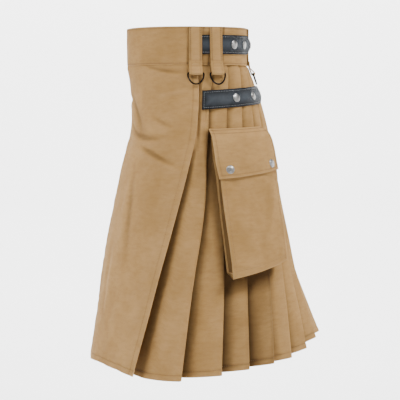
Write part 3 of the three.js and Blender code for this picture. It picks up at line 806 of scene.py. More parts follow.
def pleatRun(index, drops):
    # One pleat at every level: its face, its folded edge, its return and the inner fold.
    depth, underlap, radius, free = (read(drops) for read in pleatAt.values())
    free = np.clip(free, 0, 1)
    high = np.full_like(drops, -kilt["pleatInset"] - kilt["cloth"] / 2)
    low = high - depth
    fold = foldPlace(index, drops)
    if index == 0:
        previous = apronEdge(drops)
        start = previous - tuckUnderApron(drops)
    else:
        previous = foldPlace(index - 1, drops)
        start = previous - underlap
    riseFrom, riseTo = previous + 2, fold - underlap - 2
    faceCount = 17
    t = np.linspace(0, 1, faceCount)[None, :]
    s = (start + radius)[:, None] + (fold - start - 2 * radius)[:, None] * t
    rise = np.clip((s - riseFrom[:, None]) / (riseTo - riseFrom)[:, None], 0, 1)
    laid = low[:, None] + depth[:, None] * rise * rise * (3 - 2 * rise)
    share = (s - start[:, None]) / (fold - start)[:, None]
    swung = low[:, None] + depth[:, None] * share * (1.35 - 0.35 * share)
    out = laid + (swung - laid) * free[:, None]
    # The free face meets its folded edge at the same height as the laid one.
    out += (high[:, None] - out[:, -1:]) * glow(1 - t, 0.35)
    relief = clothRelief(drops[:, None], s, 40 + 2 * index)
    relief = relief * np.minimum(1, depth / 9)[:, None] * np.sin(math.pi * np.clip(t, 0, 1)) ** 0.6
    if index in (0, len(foldRows) - 1):
        relief = relief + creasesAt(drops[:, None], s, pleatCreases[min(index, 1)])
    if index == 0:
        # Under the apron the cloth only sinks in, clear of the apron's own creases.
        bare = np.clip((s - previous[:, None]) / 6, 0, 1)
        relief = np.minimum(relief, 0) + np.maximum(relief, 0) * bare - 0.9 * (1 - bare)
    out += relief
    # Where the fold before it covers the face, the face is darkened as painted shade.
    paintedFoldShade = 0.85 * glow(np.maximum(s - previous[:, None], 0), (3 + 0.5 * depth)[:, None])
    if index == 0:
        paintedFoldShade = paintedFoldShade * np.clip((drops - 215) / 50, 0, 1)[:, None]
    half = math.pi / 2
    tip = arcRun(fold - radius, high - radius, radius, half, -half, 9)
    inner = fold - underlap
    u = np.linspace(0, 1, 6)[None, 1:-1]
    back = (
        (fold - radius)[:, None] + (inner + 2 * radius - fold)[:, None] * u,
        (high - 2 * radius)[:, None] + (low + 4 * radius - high)[:, None] * u,
    )
    turn = arcRun(inner + radius, low + radius, radius, half, 3 * half, 7)
    # The face is worn lighter by its folded edge, which is worn light itself; the back and the
    # inner turn are darkened as painted shade.
    toneShift = [
        (0.12 * glow((1 - t) * 30, 1.6) - paintedFoldShade)[:, :-1],
        np.broadcast_to(0.62 * glow(np.linspace(-1, 1, 9), 0.4) - 0.1, tip[0].shape),
        np.full(back[0].shape, -0.6),
        np.full(turn[0].shape, -0.6)[:, :-1],
    ]
    return (
        np.concatenate([s[:, :-1], tip[0], back[0], turn[0][:, :-1]], 1),
        np.concatenate([out[:, :-1], tip[1], back[1], turn[1][:, :-1]], 1),
        np.concatenate(toneShift, 1),
        np.concatenate([t[0, :-1], np.ones(9), 1 - u[0], np.zeros(6)]),
        faceCount + 3,
    )


def lastPanel(drops):
    depth, radius = pleatAt["depth"](drops), pleatAt["radius"](drops)
    low = -kilt["pleatInset"] - kilt["cloth"] / 2 - depth
    start = foldPlace(len(foldRows) - 1, drops) - pleatAt["underlap"](drops) + radius
    end = around(drops) - apronEdge(drops) + tuckUnderApron(drops)
    t = np.linspace(0, 1, 22)[None, :]
    s = start[:, None] + (end - start)[:, None] * t
    out = low[:, None] + (underApronOut(drops) - low)[:, None] * t
    return s, out, np.zeros(s.shape)


def buildPleats():
    lengths = [
        ("pleats_left", "pleatsLeft", 0, 3),
        ("pleats_left_back", "pleatsLeftBack", 4, 6),
        ("pleats_right_back", "pleatsRightBack", 7, 10),
        ("pleats_right", "pleatsRight", 11, 13),
    ]
    drops = skirtDrops(skirtLook["rows"], skirtLook["behindBand"])
    hemSeam = nearest(drops, hemSeamDrop)
    seams = []
    for node, name, first, last in lengths:
        parts, tips, count = [], [], 0
        for index in range(first, last + 1):
            s, out, toneShift, share, tipColumn = pleatRun(index, drops)
            tips.append(count + tipColumn)
            count += s.shape[1]
            opens, folds = pleatHemLine[index]
            longer = hemHang(drops)[:, None] * (opens + (folds - opens) * share)[None, :]
            low = np.clip((drops - 230) / 240, 0, 1)[:, None]
            # Each pleat's tone with its painted shade, and painted shade under the pockets.
            toneShift = toneShift + pleatToneAndShade[index] * low - 0.8 * shadeUnderPocket(drops[:, None], s)
            parts.append((s, out, toneShift, longer))
        if last == len(foldRows) - 1:
            panel = lastPanel(drops)
            parts.append((*panel, np.zeros(panel[0].shape)))
        else:
            parts[-1] = tuple(part[:, :-6] for part in parts[-1])
        s, out, toneShift, longer = (np.concatenate([part[k] for part in parts], 1) for k in range(4))
        # The pleats' tops run up inside the band, so they step in behind its inner wall.
        stepIn = np.clip((kilt["bandHeight"] + 4.5 - drops) / 4.2, 0, 1)[:, None]
        out = out - skirtLook["behindBandIn"] * stepIn
        points = clothPoint(drops[:, None] + longer, s, out)
        run = runAlong(points, 1)
        u = run - run[:, [tips[0]]] + first * 0.11
        out = out + hemRelief(drops[:, None], run / mm, 5 + first)
        thick = np.broadcast_to(hemThickness(drops)[:, None], s.shape)
        wear = toneShift + hemWearAndShade(drops)[:, None] + 0.1
        hung = drops[:, None] + longer
        made = clothPiece(name, hung, s, out, thick, wear, [node], "gathered", u)
        seams.append(seamOn(made, row=hemSeam))
    stitches("pleatHemStitches", seams)


sideSeam = 9.5


def buildApronOuter():
    drops = skirtDrops(3.0)
    edge = apronEdge(drops)[:, None]
    share = spread(-225, 225, 2.8)[None, :] / 225
    s = edge * share
    drop = drops[:, None]
    fromEdge = edge - np.abs(s)
    sideHem = np.clip((11.5 - fromEdge) / 1.5, 0, 1)
    relief = clothRelief(drop, s, 77) * np.clip(fromEdge / 30, 0.25, 1)
    creased = creasesAt(drop, s, apronCreases)
    relief = relief + creased
    relief = relief + seamPucker(fromEdge - sideSeam, drop + 0 * s, 3) * 1.2
    relief = relief + seamPucker(drop - kilt["bandHeight"] - 1, s, 9) * 1.6
    # Sewn down to the pleats as far as the hip, the side edges are drawn up in small puckers.
    sewn = glow(drop - 145, 45) * glow(fromEdge - 5, 11)
    relief = relief + sewn * (0.5 + 1.1 * softNoise(drop / 9, np.sign(s) * 2 + fromEdge / 14, 29))
    # The free side edges stand a little off the pleats, in slow waves.
    loose = np.clip((drop - 170) / 120, 0, 1) * glow(fromEdge, 34)
    relief = relief + loose * (1.6 + 1.8 * softNoise(drop / 85, np.sign(s) * 3 + 0 * drop, 23))
    relief = relief + hemRelief(drop, s, 61)
    thick = (kilt["cloth"] + 0.6 * np.maximum(sideHem, 0)) * rounded(fromEdge, 1.5)
    thick = np.maximum(thick, 0.35) * (hemThickness(drops)[:, None] / kilt["cloth"])
    # Edges are worn lighter; the side seam's stitching and the crease troughs are darkened as
    # painted shade; raised cloth is lighter; the loops' painted shadow falls near the top.
    wear = 0.55 * glow(fromEdge, 1.1) - 0.3 * glow(fromEdge - sideSeam, 1.2) + hemWearAndShade(drop)
    wear = wear + 0.1 + 0.14 * np.clip(relief, 0, 1.5) - 0.2 * np.clip(-creased, 0, 2.5)
    wear = wear - 0.6 * shadeBesideLoops(drop, s)
    out = -kilt["cloth"] / 2 + relief
    # The hypot rounds off the hem line at centre front.
    fromFront = np.hypot(s, 16) - 16
    longer = np.interp(fromFront, apronHemLine["s"], apronHemLine["longer"]) * hemHang(drop)
    hung = drop + longer
    made = clothPiece("apronOuter", hung, s, out, thick, wear, ["apron_outer"], "gathered")
    hemSeam = nearest(drops, hemSeamDrop)
    sideColumn = nearest((1 - share[0]) * 222, sideSeam)
    seams = [
        seamOn(made, row=hemSeam, first=4, last=-4),
        seamOn(made, column=sideColumn, first=4, last=-4),
        seamOn(made, column=share.shape[1] - 1 - sideColumn, first=4, last=-4),
    ]
    stitches("apronStitches", seams)


def buildApronUnder():
    drops = skirtDrops(5.0)
    drop = drops[:, None]
    start = (-(apronEdge(drops) - tuckUnderApron(drops)) + kilt["seamGap"])[:, None]
    t = (spread(0, 310, 5.0) / 310)[None, :]
    s = start + (kilt["underApronEdge"] - start) * t
    fromEnd = kilt["underApronEdge"] - s
    out = underApronOut(drops)[:, None] + clothRelief(drop, s, 91) * 0.7 + hemRelief(drop, s, 67)
    thick = hemThickness(drops)[:, None] * rounded(fromEnd, 1.5)
    wear = hemWearAndShade(drop) + 0.7 * glow(fromEnd, 1.5) + 0.08
    made = clothPiece("apronUnder", drop, s, out, thick, wear, ["apron_under"], "hung")
    hemSeam = nearest(drops, hemSeamDrop)
    column = nearest((1 - t[0]) * 340, sideSeam)
    seams = [seamOn(made, row=hemSeam), seamOn(made, column=column, first=4, last=-4)]
    stitches("underApronStitches", seams)


# Handling creases of the outer apron.
apronCreases = [
    (195, 95, 9, 100, 6, -1.5, -20),
    (224, 152, 18, 78, 5, -1.5, 4),
    (77, 142, 11, 60, 4, -1.1, -5),
    (169, 156, 20, 36, 4.5, -0.9, 0),
    (150, 60, 39, 80, 9, -1.2, 0),
    (118, 170, -14, 40, 5, 0.7, 0),
    (216, -104, -17, 74, 6, -1.2, -8),
    (178, -152, -26, 50, 5, -1.1, 0),
    (80, -120, -9, 66, 4, -1.0, -6),
    (140, -168, 16, 34, 4.5, -0.7, 0),
    (128, -20, 4, 70, 7, -0.9, 10),
    (262, 30, 58, 90, 9, 0.8, 0),
    (330, 120, 80, 120, 12, -1.0, 0),
    (420, -20, 86, 150, 14, 1.1, 0),
    (300, -110, 98, 120, 12, -1.0, 0),
    (470, 90, 84, 110, 13, 1.0, 0),
    (500, -130, 94, 100, 12, 0.9, 0),
]

buildPleats()
print("pleats made")
buildApronOuter()
buildApronUnder()
print("aprons made")

# Waistbands: doubled canvas, stitched along both edges.
bandLook = {"stitchIn": 3.2, "underIn": 0.6}


def buildBand(name, node, start, end, middle, seed):
    seamRows = [bandLook["stitchIn"], kilt["bandHeight"] - bandLook["stitchIn"]]
    drops = withRows(spread(0, kilt["bandHeight"], 3.2), seamRows, 0.9, 1)
    s = spread(start, end, 3.0)[None, :]
    drop = drops[:, None]
    fromSide = np.minimum(s - start, end - s)
    fromTop = np.minimum(drop, kilt["bandHeight"] - drop)
    run = s + 0 * drop
    relief = seamPucker(drop - seamRows[0], run, seed)
    relief = relief + seamPucker(drop - seamRows[1], run, seed + 2)
    relief = relief + 0.35 * softNoise(s / 34, drop / 22, seed) * np.clip(fromTop / 8, 0, 1)
    thick = kilt["bandCloth"] * rounded(fromTop, 2.0) * rounded(fromSide, 2.0)
    # Edges are worn lighter; the stitching line is darkened as painted shade, and so is the cloth
    # beside each loop.
    wear = 0.35 * glow(fromTop, 0.8) - 0.3 * glow(fromTop - bandLook["stitchIn"], 1.1)
    wear = wear + 0.4 * glow(fromSide, 1.2) + 0.02 - 0.8 * shadeBesideLoops(drop, s)
    made = clothPiece(name, drop, s, middle + relief * 0.6, thick, wear, [node], "stretched")
    return [seamOn(made, row=nearest(drops, place), first=3, last=-3) for place in seamRows]


def buildBands():
    half, lap, gap = kilt["frontBandHalf"], kilt["bandLap"], kilt["seamGap"]
    middle = -kilt["bandCloth"] / 2
    under = -kilt["bandCloth"] * 1.5 - gap
    end = float(around(0)) - half + lap
    seams = buildBand("bandFront", "waistband_front", -half, half, middle, 5)
    seams += buildBand("bandBack", "waistband_back", half - lap, end, under, 14)
    start = -half + lap + gap
    underBand = under - bandLook["underIn"]
    seams += buildBand("bandUnder", "waistband_under", start, kilt["underApronEdge"], underBand, 23)
    stitches("bandStitches", seams)


buildBands()
print("bands made")

# Bellows pockets: a bag of canvas on the pleats, its sides folded in, under a snapped flap.
pocketLook = {
    "swell": {"drop": [181, 196, 225, 268, 400, 450], "swell": [2, 12, 19, 22, 24, 22]},
    "mouth": 196,
    "bottom": 445,
    "back": -1.6,
    "tuck": 14,
    "backRises": 9,
    "cloth": 1.2,
    "crown": 2.2,
    "seamProud": 0.9,
    "flapSeam": 181,
    "flapHem": 268,
    "overhang": 0.018,
    "laidGap": 1.2,
    "panelWidth": 120,
    "flapWidth": 122,
    "flapRows": [184, 189.5, 262.5],
    "flapSides": [0.03, 0.97],
    "flapSpan": 124,
    "studs": [(0.14, 254), (0.85, 254)],
}
# Each level of the bag has this many columns over its front or back, and in each side fold.
panelColumns, foldColumns = 34, 9
frontStart = panelColumns + foldColumns
frontEnd = frontStart + panelColumns
swellAt = smoothTable(pocketLook["swell"], "swell")


def pocketPlace(across, drop):
    # across runs from 0 at the front edge to 1 at the rear edge.
    high, middle, low = pocketEdges["drop"]
    places = []
    for name in ("front", "rear", "rise"):
        first, second, third = pocketEdges[name]
        place = np.interp(drop, pocketEdges["drop"], pocketEdges[name])
        place = place + np.maximum(drop - low, 0) * (third - second) / (low - middle)
        places.append(place + np.minimum(drop - high, 0) * (second - first) / (middle - high))
    front, rear, rise = places
    return drop - rise * across, front + (rear - front) * across


def crownAt(drop):
    # How far the front panel swells in its middle.
    return pocketLook["crown"] * (0.5 + np.clip((drop - pocketLook["mouth"]) / 250, 0, 1))


def pocketFront(across, drop, seed):
    # The front panel: a soft crown, sagging lower down, with creases that run to its corners.
    edge = np.minimum(across, 1 - across)
    crown = crownAt(drop) * np.sin(math.pi * np.clip(across, 0, 1)) ** 0.8
    width = pocketLook["panelWidth"]
    relief = creasesAt(drop, across * width, pocketCreases[seed % 2])
    hollow = softNoise(across * 3.1, drop / 60, 200 + seed)
    relief = relief + hollow * 1.1 * np.clip(edge * 8, 0, 1)
    relief = relief + softNoise(across * 9, drop / 19, 230 + seed) * 0.25
    ridgeOut = pocketLook["seamProud"] * glow(edge * width, 1.4)
    return crown + relief + ridgeOut


# Creases of each pocket's front panel, placed by their distance from its front edge in mm.
pocketCreases = [
    [
        (300, 30, 66, 60, 7, -1.3, 0),
        (330, 92, 104, 70, 8, 1.2, 0),
        (395, 56, 80, 60, 8, -1.2, 0),
        (425, 22, 20, 34, 5, 0.9, 0),
        (280, 100, 30, 30, 4.5, -0.9, 0),
        (360, 40, 12, 30, 5, 0.8, 0),
    ],
    [
        (310, 84, 100, 64, 8, -1.3, 0),
        (345, 30, 74, 66, 7, 1.2, 0),
        (405, 78, 92, 50, 7, -1.1, 0),
        (420, 96, -24, 32, 5, 0.9, 0),
        (285, 26, -28, 30, 4.5, -0.9, 0),
    ],
]


def pocketLevel(drop, inset, seed, pinch=0.0):
    # One level of the bag: back, rear bellows, front and front bellows, as across and out.
    width = pocketLook["panelWidth"]
    margin = inset / width
    back = pocketLook["back"] + inset
    swell = float(swellAt(min(drop, pocketEdges["drop"][-1])))
    front = swell - inset
    backAcross = np.linspace(margin, 1 - margin, panelColumns)
    frontAcross = backAcross[::-1]
    t = np.linspace(0, 1, foldColumns + 2)[1:-1]
    fold = (pocketLook["tuck"] + inset) / width
    vee = 1 - np.abs(2 * t - 1)
    sideOut = back + (front - back) * t
    face = front + pocketFront(frontAcross, np.full(panelColumns, float(drop)), seed)
    folded = margin + (fold - margin) * vee
    rearFold = 1 - margin - (fold - margin) * vee
    across = np.concatenate([backAcross, rearFold, frontAcross, folded])
    out = np.concatenate([np.full(panelColumns, back), sideOut, face, sideOut[::-1]])
    middle = (back + front) / 2
    behind = np.clip((front - out) / (front - back), 0, 1)
    level = drop - pocketLook["backRises"] * behind * np.clip((drop - 380) / 65, 0, 1)
    return across, middle + (out - middle) * (1 - pinch), level


def buildPocket(side, sideName, seed):
    look = pocketLook
    drops = np.concatenate([
        [look["mouth"], 196.6, 198, 201], np.arange(205, 440, 4.0), [440, 442.6, 444.2, 445]])
    bottomIn = np.clip((drops - 440) / 5, 0, 1) ** 2 * 2.2
    walls = []
    for inset in (0.0, look["cloth"]):
        rows = []
        for drop, tucked in zip(drops, bottomIn):
            low = min(drop, look["bottom"] - inset)
            across, out, level = pocketLevel(low, inset, seed, tucked * 0.035)
            place, s = pocketPlace(across, level)
            rows.append(clothPoint(place, side * s, out))
        walls.append(np.array(rows))
    outer, inner = walls
    rows, count = outer.shape[:2]
    points = np.concatenate([outer.reshape(-1, 3), inner.reshape(-1, 3)])
    total = rows * count
    grid, after, outside = roundFaces(rows, count)
    inside = np.stack([grid[:-1], after[:-1], after[1:], grid[1:]], -1).reshape(-1, 4) + total
    rim = np.stack([grid[0], after[0], after[0] + total, grid[0] + total], -1)
    faces = outside.tolist() + inside.tolist() + rim.tolist()
    # The bottom: quads from back to front, and one face in each side fold, outside and inside.
    last = panelColumns - 1
    for base, turn in ((grid[-1].tolist(), 1), ((grid[-1] + total).tolist(), -1)):
        for j in range(last):
            quad = [base[j], base[frontEnd - 1 - j], base[frontEnd - 2 - j], base[j + 1]]
            faces.append(quad[::turn])
        faces.append(base[last:frontStart + 1][::-turn])
        faces.append((base[frontEnd - 1:] + base[:1])[::-turn])
    if side > 0:
        faces = [face[::-1] for face in faces]
    run = runAlong(outer, 1)
    down = runAlong(outer, 0)
    across = pocketLevel(300.0, 0.0, seed)[0]
    isFront = np.zeros(count)
    isFront[frontStart:frontEnd] = 1
    edge = np.minimum(across, 1 - across) * look["panelWidth"]
    # The front panel's edges are worn lighter and its stitching is darkened as painted shade; the
    # bellows folds are darkened as painted shade in their recess.
    wear = isFront[None, :] * (0.5 * glow(edge, 1.3) - 0.3 * glow(edge - 5, 1.2))[None, :] + 0.05
    bellows = np.zeros(count)
    bellows[panelColumns:frontStart] = bellows[frontEnd:] = 1
    wear = wear - 0.85 * bellows[None, :]
    wear = wear + 0.45 * glow(drops - look["bottom"], 1.6)[:, None] * (1 - bellows)
    wear = wear + 0.3 * glow(drops - look["mouth"], 2)[:, None]
    uvs = np.stack([np.tile(run.ravel(), 2), np.tile(down.ravel(), 2)], 1)
    toneShift = np.tile(np.clip(wear, -1, 1).ravel(), 2)
    piece = newMesh(f"pocket{sideName}", points, faces, uvs, toneShift)
    piece.data.shade_smooth()
    dress(piece, canvas, [f"pocket_{sideName.lower()}"])
    face = outer[:, frontStart:frontEnd]
    if side > 0:
        face = face[:, ::-1]
    made = {"outer": face, "normal": outwardAt(face)}
    return [
        seamOn(made, column=2, first=3, last=-3),
        seamOn(made, column=-3, first=3, last=-3),
        seamOn(made, row=-6, first=2, last=-2),
    ]


def flapOut(drop):
    start = pocketLook["flapSeam"]
    rise = np.clip((drop - start) / 8, 0, 1)
    target = swellAt(np.maximum(drop, start + 2)) + pocketLook["laidGap"]
    return pocketLook["back"] + (target - pocketLook["back"]) * rise * (2 - rise)


def buildFlap(side, sideName, seed):
    look = pocketLook
    topRow, nextRow = look["flapRows"][:2]
    width = look["flapWidth"]
    drops = withRows(spread(look["flapSeam"], look["flapHem"], 2.6), look["flapRows"], 0.8, 0.9)
    across = spread(-look["overhang"], 1 + look["overhang"], 0.022, (0.002, 0.005, 0.009, 0.016))
    columns = np.sort(np.append(across, look["flapSides"]))
    if side < 0:
        columns = columns[::-1]
    drop = drops[:, None] + 0 * columns[None, :]
    place, s = pocketPlace(columns[None, :] + 0 * drop, drop)
    fromSide = np.minimum(columns - columns.min(), columns.max() - columns)[None, :]
    fromSide = fromSide * look["flapSpan"]
    fromHem = look["flapHem"] - drop
    held = 0
    for share, down in look["studs"]:
        held = held + glow(np.hypot((columns[None, :] - share) * width, drop - down), 9)
    relief = creasesAt(drop, columns[None, :] * width, flapCreases[seed % 2])
    hollow = softNoise(columns[None, :] * 4, drop / 30, 300 + seed)
    relief = relief + hollow * 0.9 * np.clip(drop / 20 - 9.3, 0, 1)
    relief = relief - 0.5 * held
    bow = np.sin(math.pi * np.clip(columns, 0, 1))[None, :]
    crown = 1.6 * bow * np.clip((drop - 190) / 60, 0, 1)
    lift = 0.8 * glow(fromHem, 9) * (1 - np.clip(held * 1.5, 0, 1))
    seamsIn = seamPucker(drop - topRow, s, seed) + seamPucker(drop - nextRow, s, seed + 1)
    seamsIn = seamsIn + seamPucker(fromHem - 5.5, s, seed + 2)
    seamsIn = seamsIn + seamPucker(fromSide - 5.5, drop, seed + 3)
    # The pocket's own crown lifts the flap with it, so the two keep apart.
    under = crownAt(drop) * bow ** 0.8 * np.clip((drop - 188) / 10, 0, 1)
    relief = np.maximum(relief, -0.4) + seamsIn * 0.8 + crown + lift + under
    relief = relief + 0.9 * np.clip((drop - 190) / 10, 0, 1)
    thick = look["cloth"] * rounded(fromHem, 1.5) * rounded(fromSide, 1.5)
    fromEdge = np.minimum(fromHem, fromSide)
    thick = thick * (1 + 0.5 * np.clip((6.5 - fromEdge) / 1.2, 0, 1))
    # Edges are worn lighter; the stitching lines are darkened as painted shade.
    wear = 0.5 * glow(fromEdge, 1.1) - 0.3 * glow(fromEdge - 5.5, 1.1)
    wear = wear + 0.1 + 0.3 * glow(drop - look["flapSeam"], 1.2)
    wear = wear - 0.4 * glow(drop - topRow, 1) - 0.4 * glow(drop - nextRow, 1)
    out = flapOut(drop) + look["cloth"] / 2 + relief
    node = f"flap_{sideName.lower()}"
    made = clothPiece(f"flap{sideName}", place, side * s, out, thick, wear, [node], "folded")
    rows = [nearest(drops, value) for value in look["flapRows"]]
    sides = sorted(nearest(columns, value) for value in look["flapSides"])
    seams = [seamOn(made, row=row, first=3, last=-3) for row in rows[:2]]
    seams.append(seamOn(made, row=rows[2], first=sides[0], last=sides[1] + 1))
    seams += [seamOn(made, column=column, first=rows[1], last=rows[2] + 1) for column in sides]
    return seams, made, drops, columns


flapCreases = [
    [
        (222, 40, 24, 34, 5, -0.8, 0),
        (236, 84, -20, 36, 5, 0.9, 0),
        (212, 92, 8, 30, 4, -0.6, 0),
        (248, 46, 4, 26, 4, 0.7, 0),
    ],
    [
        (226, 78, -24, 34, 5, -0.8, 0),
        (240, 40, 18, 36, 5, 0.9, 0),
        (214, 36, -8, 30, 4, -0.6, 0),
    ],
]

pocketSeams, flapsMade = [], {}
for side, sideName, seed in ((1, "Left", 2), (-1, "Right", 5)):
    pocketSeams += buildPocket(side, sideName, seed)
    flapSeams, *made = buildFlap(side, sideName, seed)
    flapsMade[sideName] = made
    pocketSeams += flapSeams
stitches("pocketStitches", pocketSeams)
print("pockets made")

# Leather straps: stitched round the edge, square where they are sewn on, pointed at the tip.
strapLook = {
    "waist": {
        "start": 204, "end": 346, "startDrop": 32, "endDrop": 31,
        "studs": [280, 314], "lean": 0.0, "lift": 5,
    },
    "hip": {
        "start": 224, "end": 388, "startDrop": 130, "endDrop": 121,
        "studs": [289, 339], "lean": 0.16, "lift": 3,
    },
    "height": 34,
    "tip": 15,
    "tipHeight": 7,
    "thick": 2.5,
    "inner": -1.6,
    "stitchIn": 3.4,
    "leanRun": 60,
    "dent": 0.45,
}


def strapMiddle(strap, s):
    t = (s - strap["start"]) / (strap["end"] - strap["start"])
    return strap["startDrop"] + (strap["endDrop"] - strap["startDrop"]) * t


def strapHalf(strap, s, inset=0.0):
    # Half the strap's height at s, narrowing to its tip over the last stretch, its corners eased.
    look = strapLook
    toTip = strap["end"] - s
    taper = look["height"] - look["tipHeight"]
    narrow = look["tipHeight"] + taper * np.clip(toTip / look["tip"], 0, 1)
    soft = look["height"] - 1.2 * glow(toTip - look["tip"], 3.5)
    nose = np.sqrt(np.clip(1 - (1 - np.clip(toTip / 2.2, 0, 1)) ** 2, 0, 1))
    return np.minimum(narrow, soft) / 2 * (0.55 + 0.45 * nose) - inset


def strapLean(strap, s):
    # The sewn end is square to the strap though the cloth flares under it.
    run = strapLook["leanRun"]
    return np.clip((strap["start"] + run - s) / run, 0, 1) * strap["lean"]


def strapStand(strap, s):
    # Past its last snap the stiff tip stands off the cloth.
    lastStud = strap["studs"][-1] + 6
    return strap["lift"] * np.clip((s - lastStud) / (strap["end"] - lastStud), 0, 1) ** 1.5


def buildStrap(side, sideName, kind, seed):
    look, strap = strapLook, strapLook[kind]
    widest = look["height"] / 2
    s = spread(strap["start"], strap["end"], 1.9)
    if side < 0:
        s = s[::-1]
    levels = spread(-widest, widest, 1.3) / widest
    half = strapHalf(strap, s)[None, :]
    drop = strapMiddle(strap, s)[None, :] + levels[:, None] * half
    sGrid = s[None, :] + strapLean(strap, s)[None, :] * (levels[:, None] * half)
    fromEnds = np.minimum(strap["end"] - s, s - strap["start"])[None, :]
    fromEdge = np.minimum((1 - np.abs(levels))[:, None] * half, fromEnds)
    relief = -0.5 * glow(fromEdge - look["stitchIn"], 0.9) - 0.2 * np.clip(1 - fromEdge / 3, 0, 1)
    for stud in strap["studs"]:
        away = np.hypot(sGrid - stud, drop - strapMiddle(strap, stud))
        relief = relief - look["dent"] * glow(away, 8) + 0.25 * glow(away - 12, 4)
    relief = relief + softNoise(sGrid / 24, drop / 13, seed) * 0.35 * np.clip(fromEdge / 6, 0, 1)
    relief = np.maximum(relief, -0.5)
    thick = look["thick"] * rounded(fromEdge, 2.4)
    middle = look["inner"] + look["thick"] / 2 + strapStand(strap, sGrid)
    # The inner face stays on the cloth; the relief is carved into the outer one.
    out = middle + relief / 2
    # The middle of the strap is painted lighter than its edges as a painted sheen; the raised rings
    # round the studs are lighter too.
    wear = 0.75 * np.clip((fromEdge - 4) / 10, 0, 1) + 0.4 * np.clip(relief, 0, 1)
    made = clothPiece(
        f"strap{kind.capitalize()}{sideName}", drop, side * sGrid, out, thick + relief, wear,
        [f"strap_{kind}_{sideName.lower()}"], None, None, leather,
    )
    inner = look["stitchIn"]
    shoulder = strap["end"] - look["tip"] - 1
    runS = np.linspace(strap["start"] + inner, shoulder, 40)
    tipS = np.linspace(shoulder, strap["end"] - inner - 1.4, 10)[1:]
    line = np.concatenate([runS, tipS])
    lines = []
    face = look["inner"] + look["thick"] - 0.3
    for turn in (-1, 1):
        away = turn * np.maximum(strapHalf(strap, line, inner), 0.6)
        leaned = side * (line + strapLean(strap, line) * away)
        lifted = face + strapStand(strap, line)
        lines.append(seamAt(strapMiddle(strap, line) + away, leaned, lifted))
    ends = np.linspace(-1, 1, 12) * (widest - inner)
    startS = strap["start"] + inner
    endS = startS + strap["lean"] * ends
    lines.append(seamAt(strapMiddle(strap, startS) + ends, side * endS, face + 0 * ends))
    return lines


strapSeams = []
for side, sideName in ((1, "Left"), (-1, "Right")):
    for kind, seed in (("waist", 61), ("hip", 64)):
        strapSeams += buildStrap(side, sideName, kind, seed + side)
stitches("strapStitches", strapSeams, darkThread, 0.8)
print("straps made")

# Loops and D-rings. Each loop is a strip of doubled canvas that goes round the ring's bar.
loopLook = {
    "width": 24,
    "cloth": 1.6,
    "eyeDrop": 82,
    "eyeRadius": 3.8,
    "eyeMiddle": 3.0,
    "eyeClear": 1.8,
    "stitchAside": 8.6,
    # How far out each loop's seat is, and the ground under its ring.
    "seats": {
        "left_front": (1.4, 0),
        "left_rear": (1.4, -2.2),
        "back_left": (-2, -2.2),
        "back_right": (-2, -2.2),
        "right_rear": (1.4, -2.2),
        "right_front": (1.4, 0),
    },
}
ringLook = {"wire": 1.5, "halfWidth": 14, "reach": 20, "standOff": 3.8}


def loopFrame(s):
    # Out of the cloth, up, and along the cloth, with the point where all three meet; in metres.
    along = clothPoint(kilt["bandHeight"], s + 4, 0) - clothPoint(kilt["bandHeight"], s - 4, 0)
    out = np.array([along[1], -along[0], 0])
    out /= np.linalg.norm(out)
    up = np.array([0, 0, 1.0])
    origin = clothPoint(kilt["bandHeight"], s, 0) * np.array([1, 1, 0])
    return {"out": out, "up": up, "along": np.cross(out, up), "origin": origin}


def profilePoint(frameAt, drop, s, out):
    p = clothPoint(drop, s, out)
    return np.array([np.dot(p - frameAt["origin"], frameAt["out"]), p[2]]) / mm


def eyeCentre(frameAt, s, seat, ground):
    look = loopLook
    base = profilePoint(frameAt, kilt["bandHeight"], s, seat)
    level = profilePoint(frameAt, look["eyeDrop"], s, 0)[1]
    low = profilePoint(frameAt, look["eyeDrop"], s, ground + look["eyeClear"])[0]
    return np.array([max(base[0], low) + look["eyeRadius"], level])


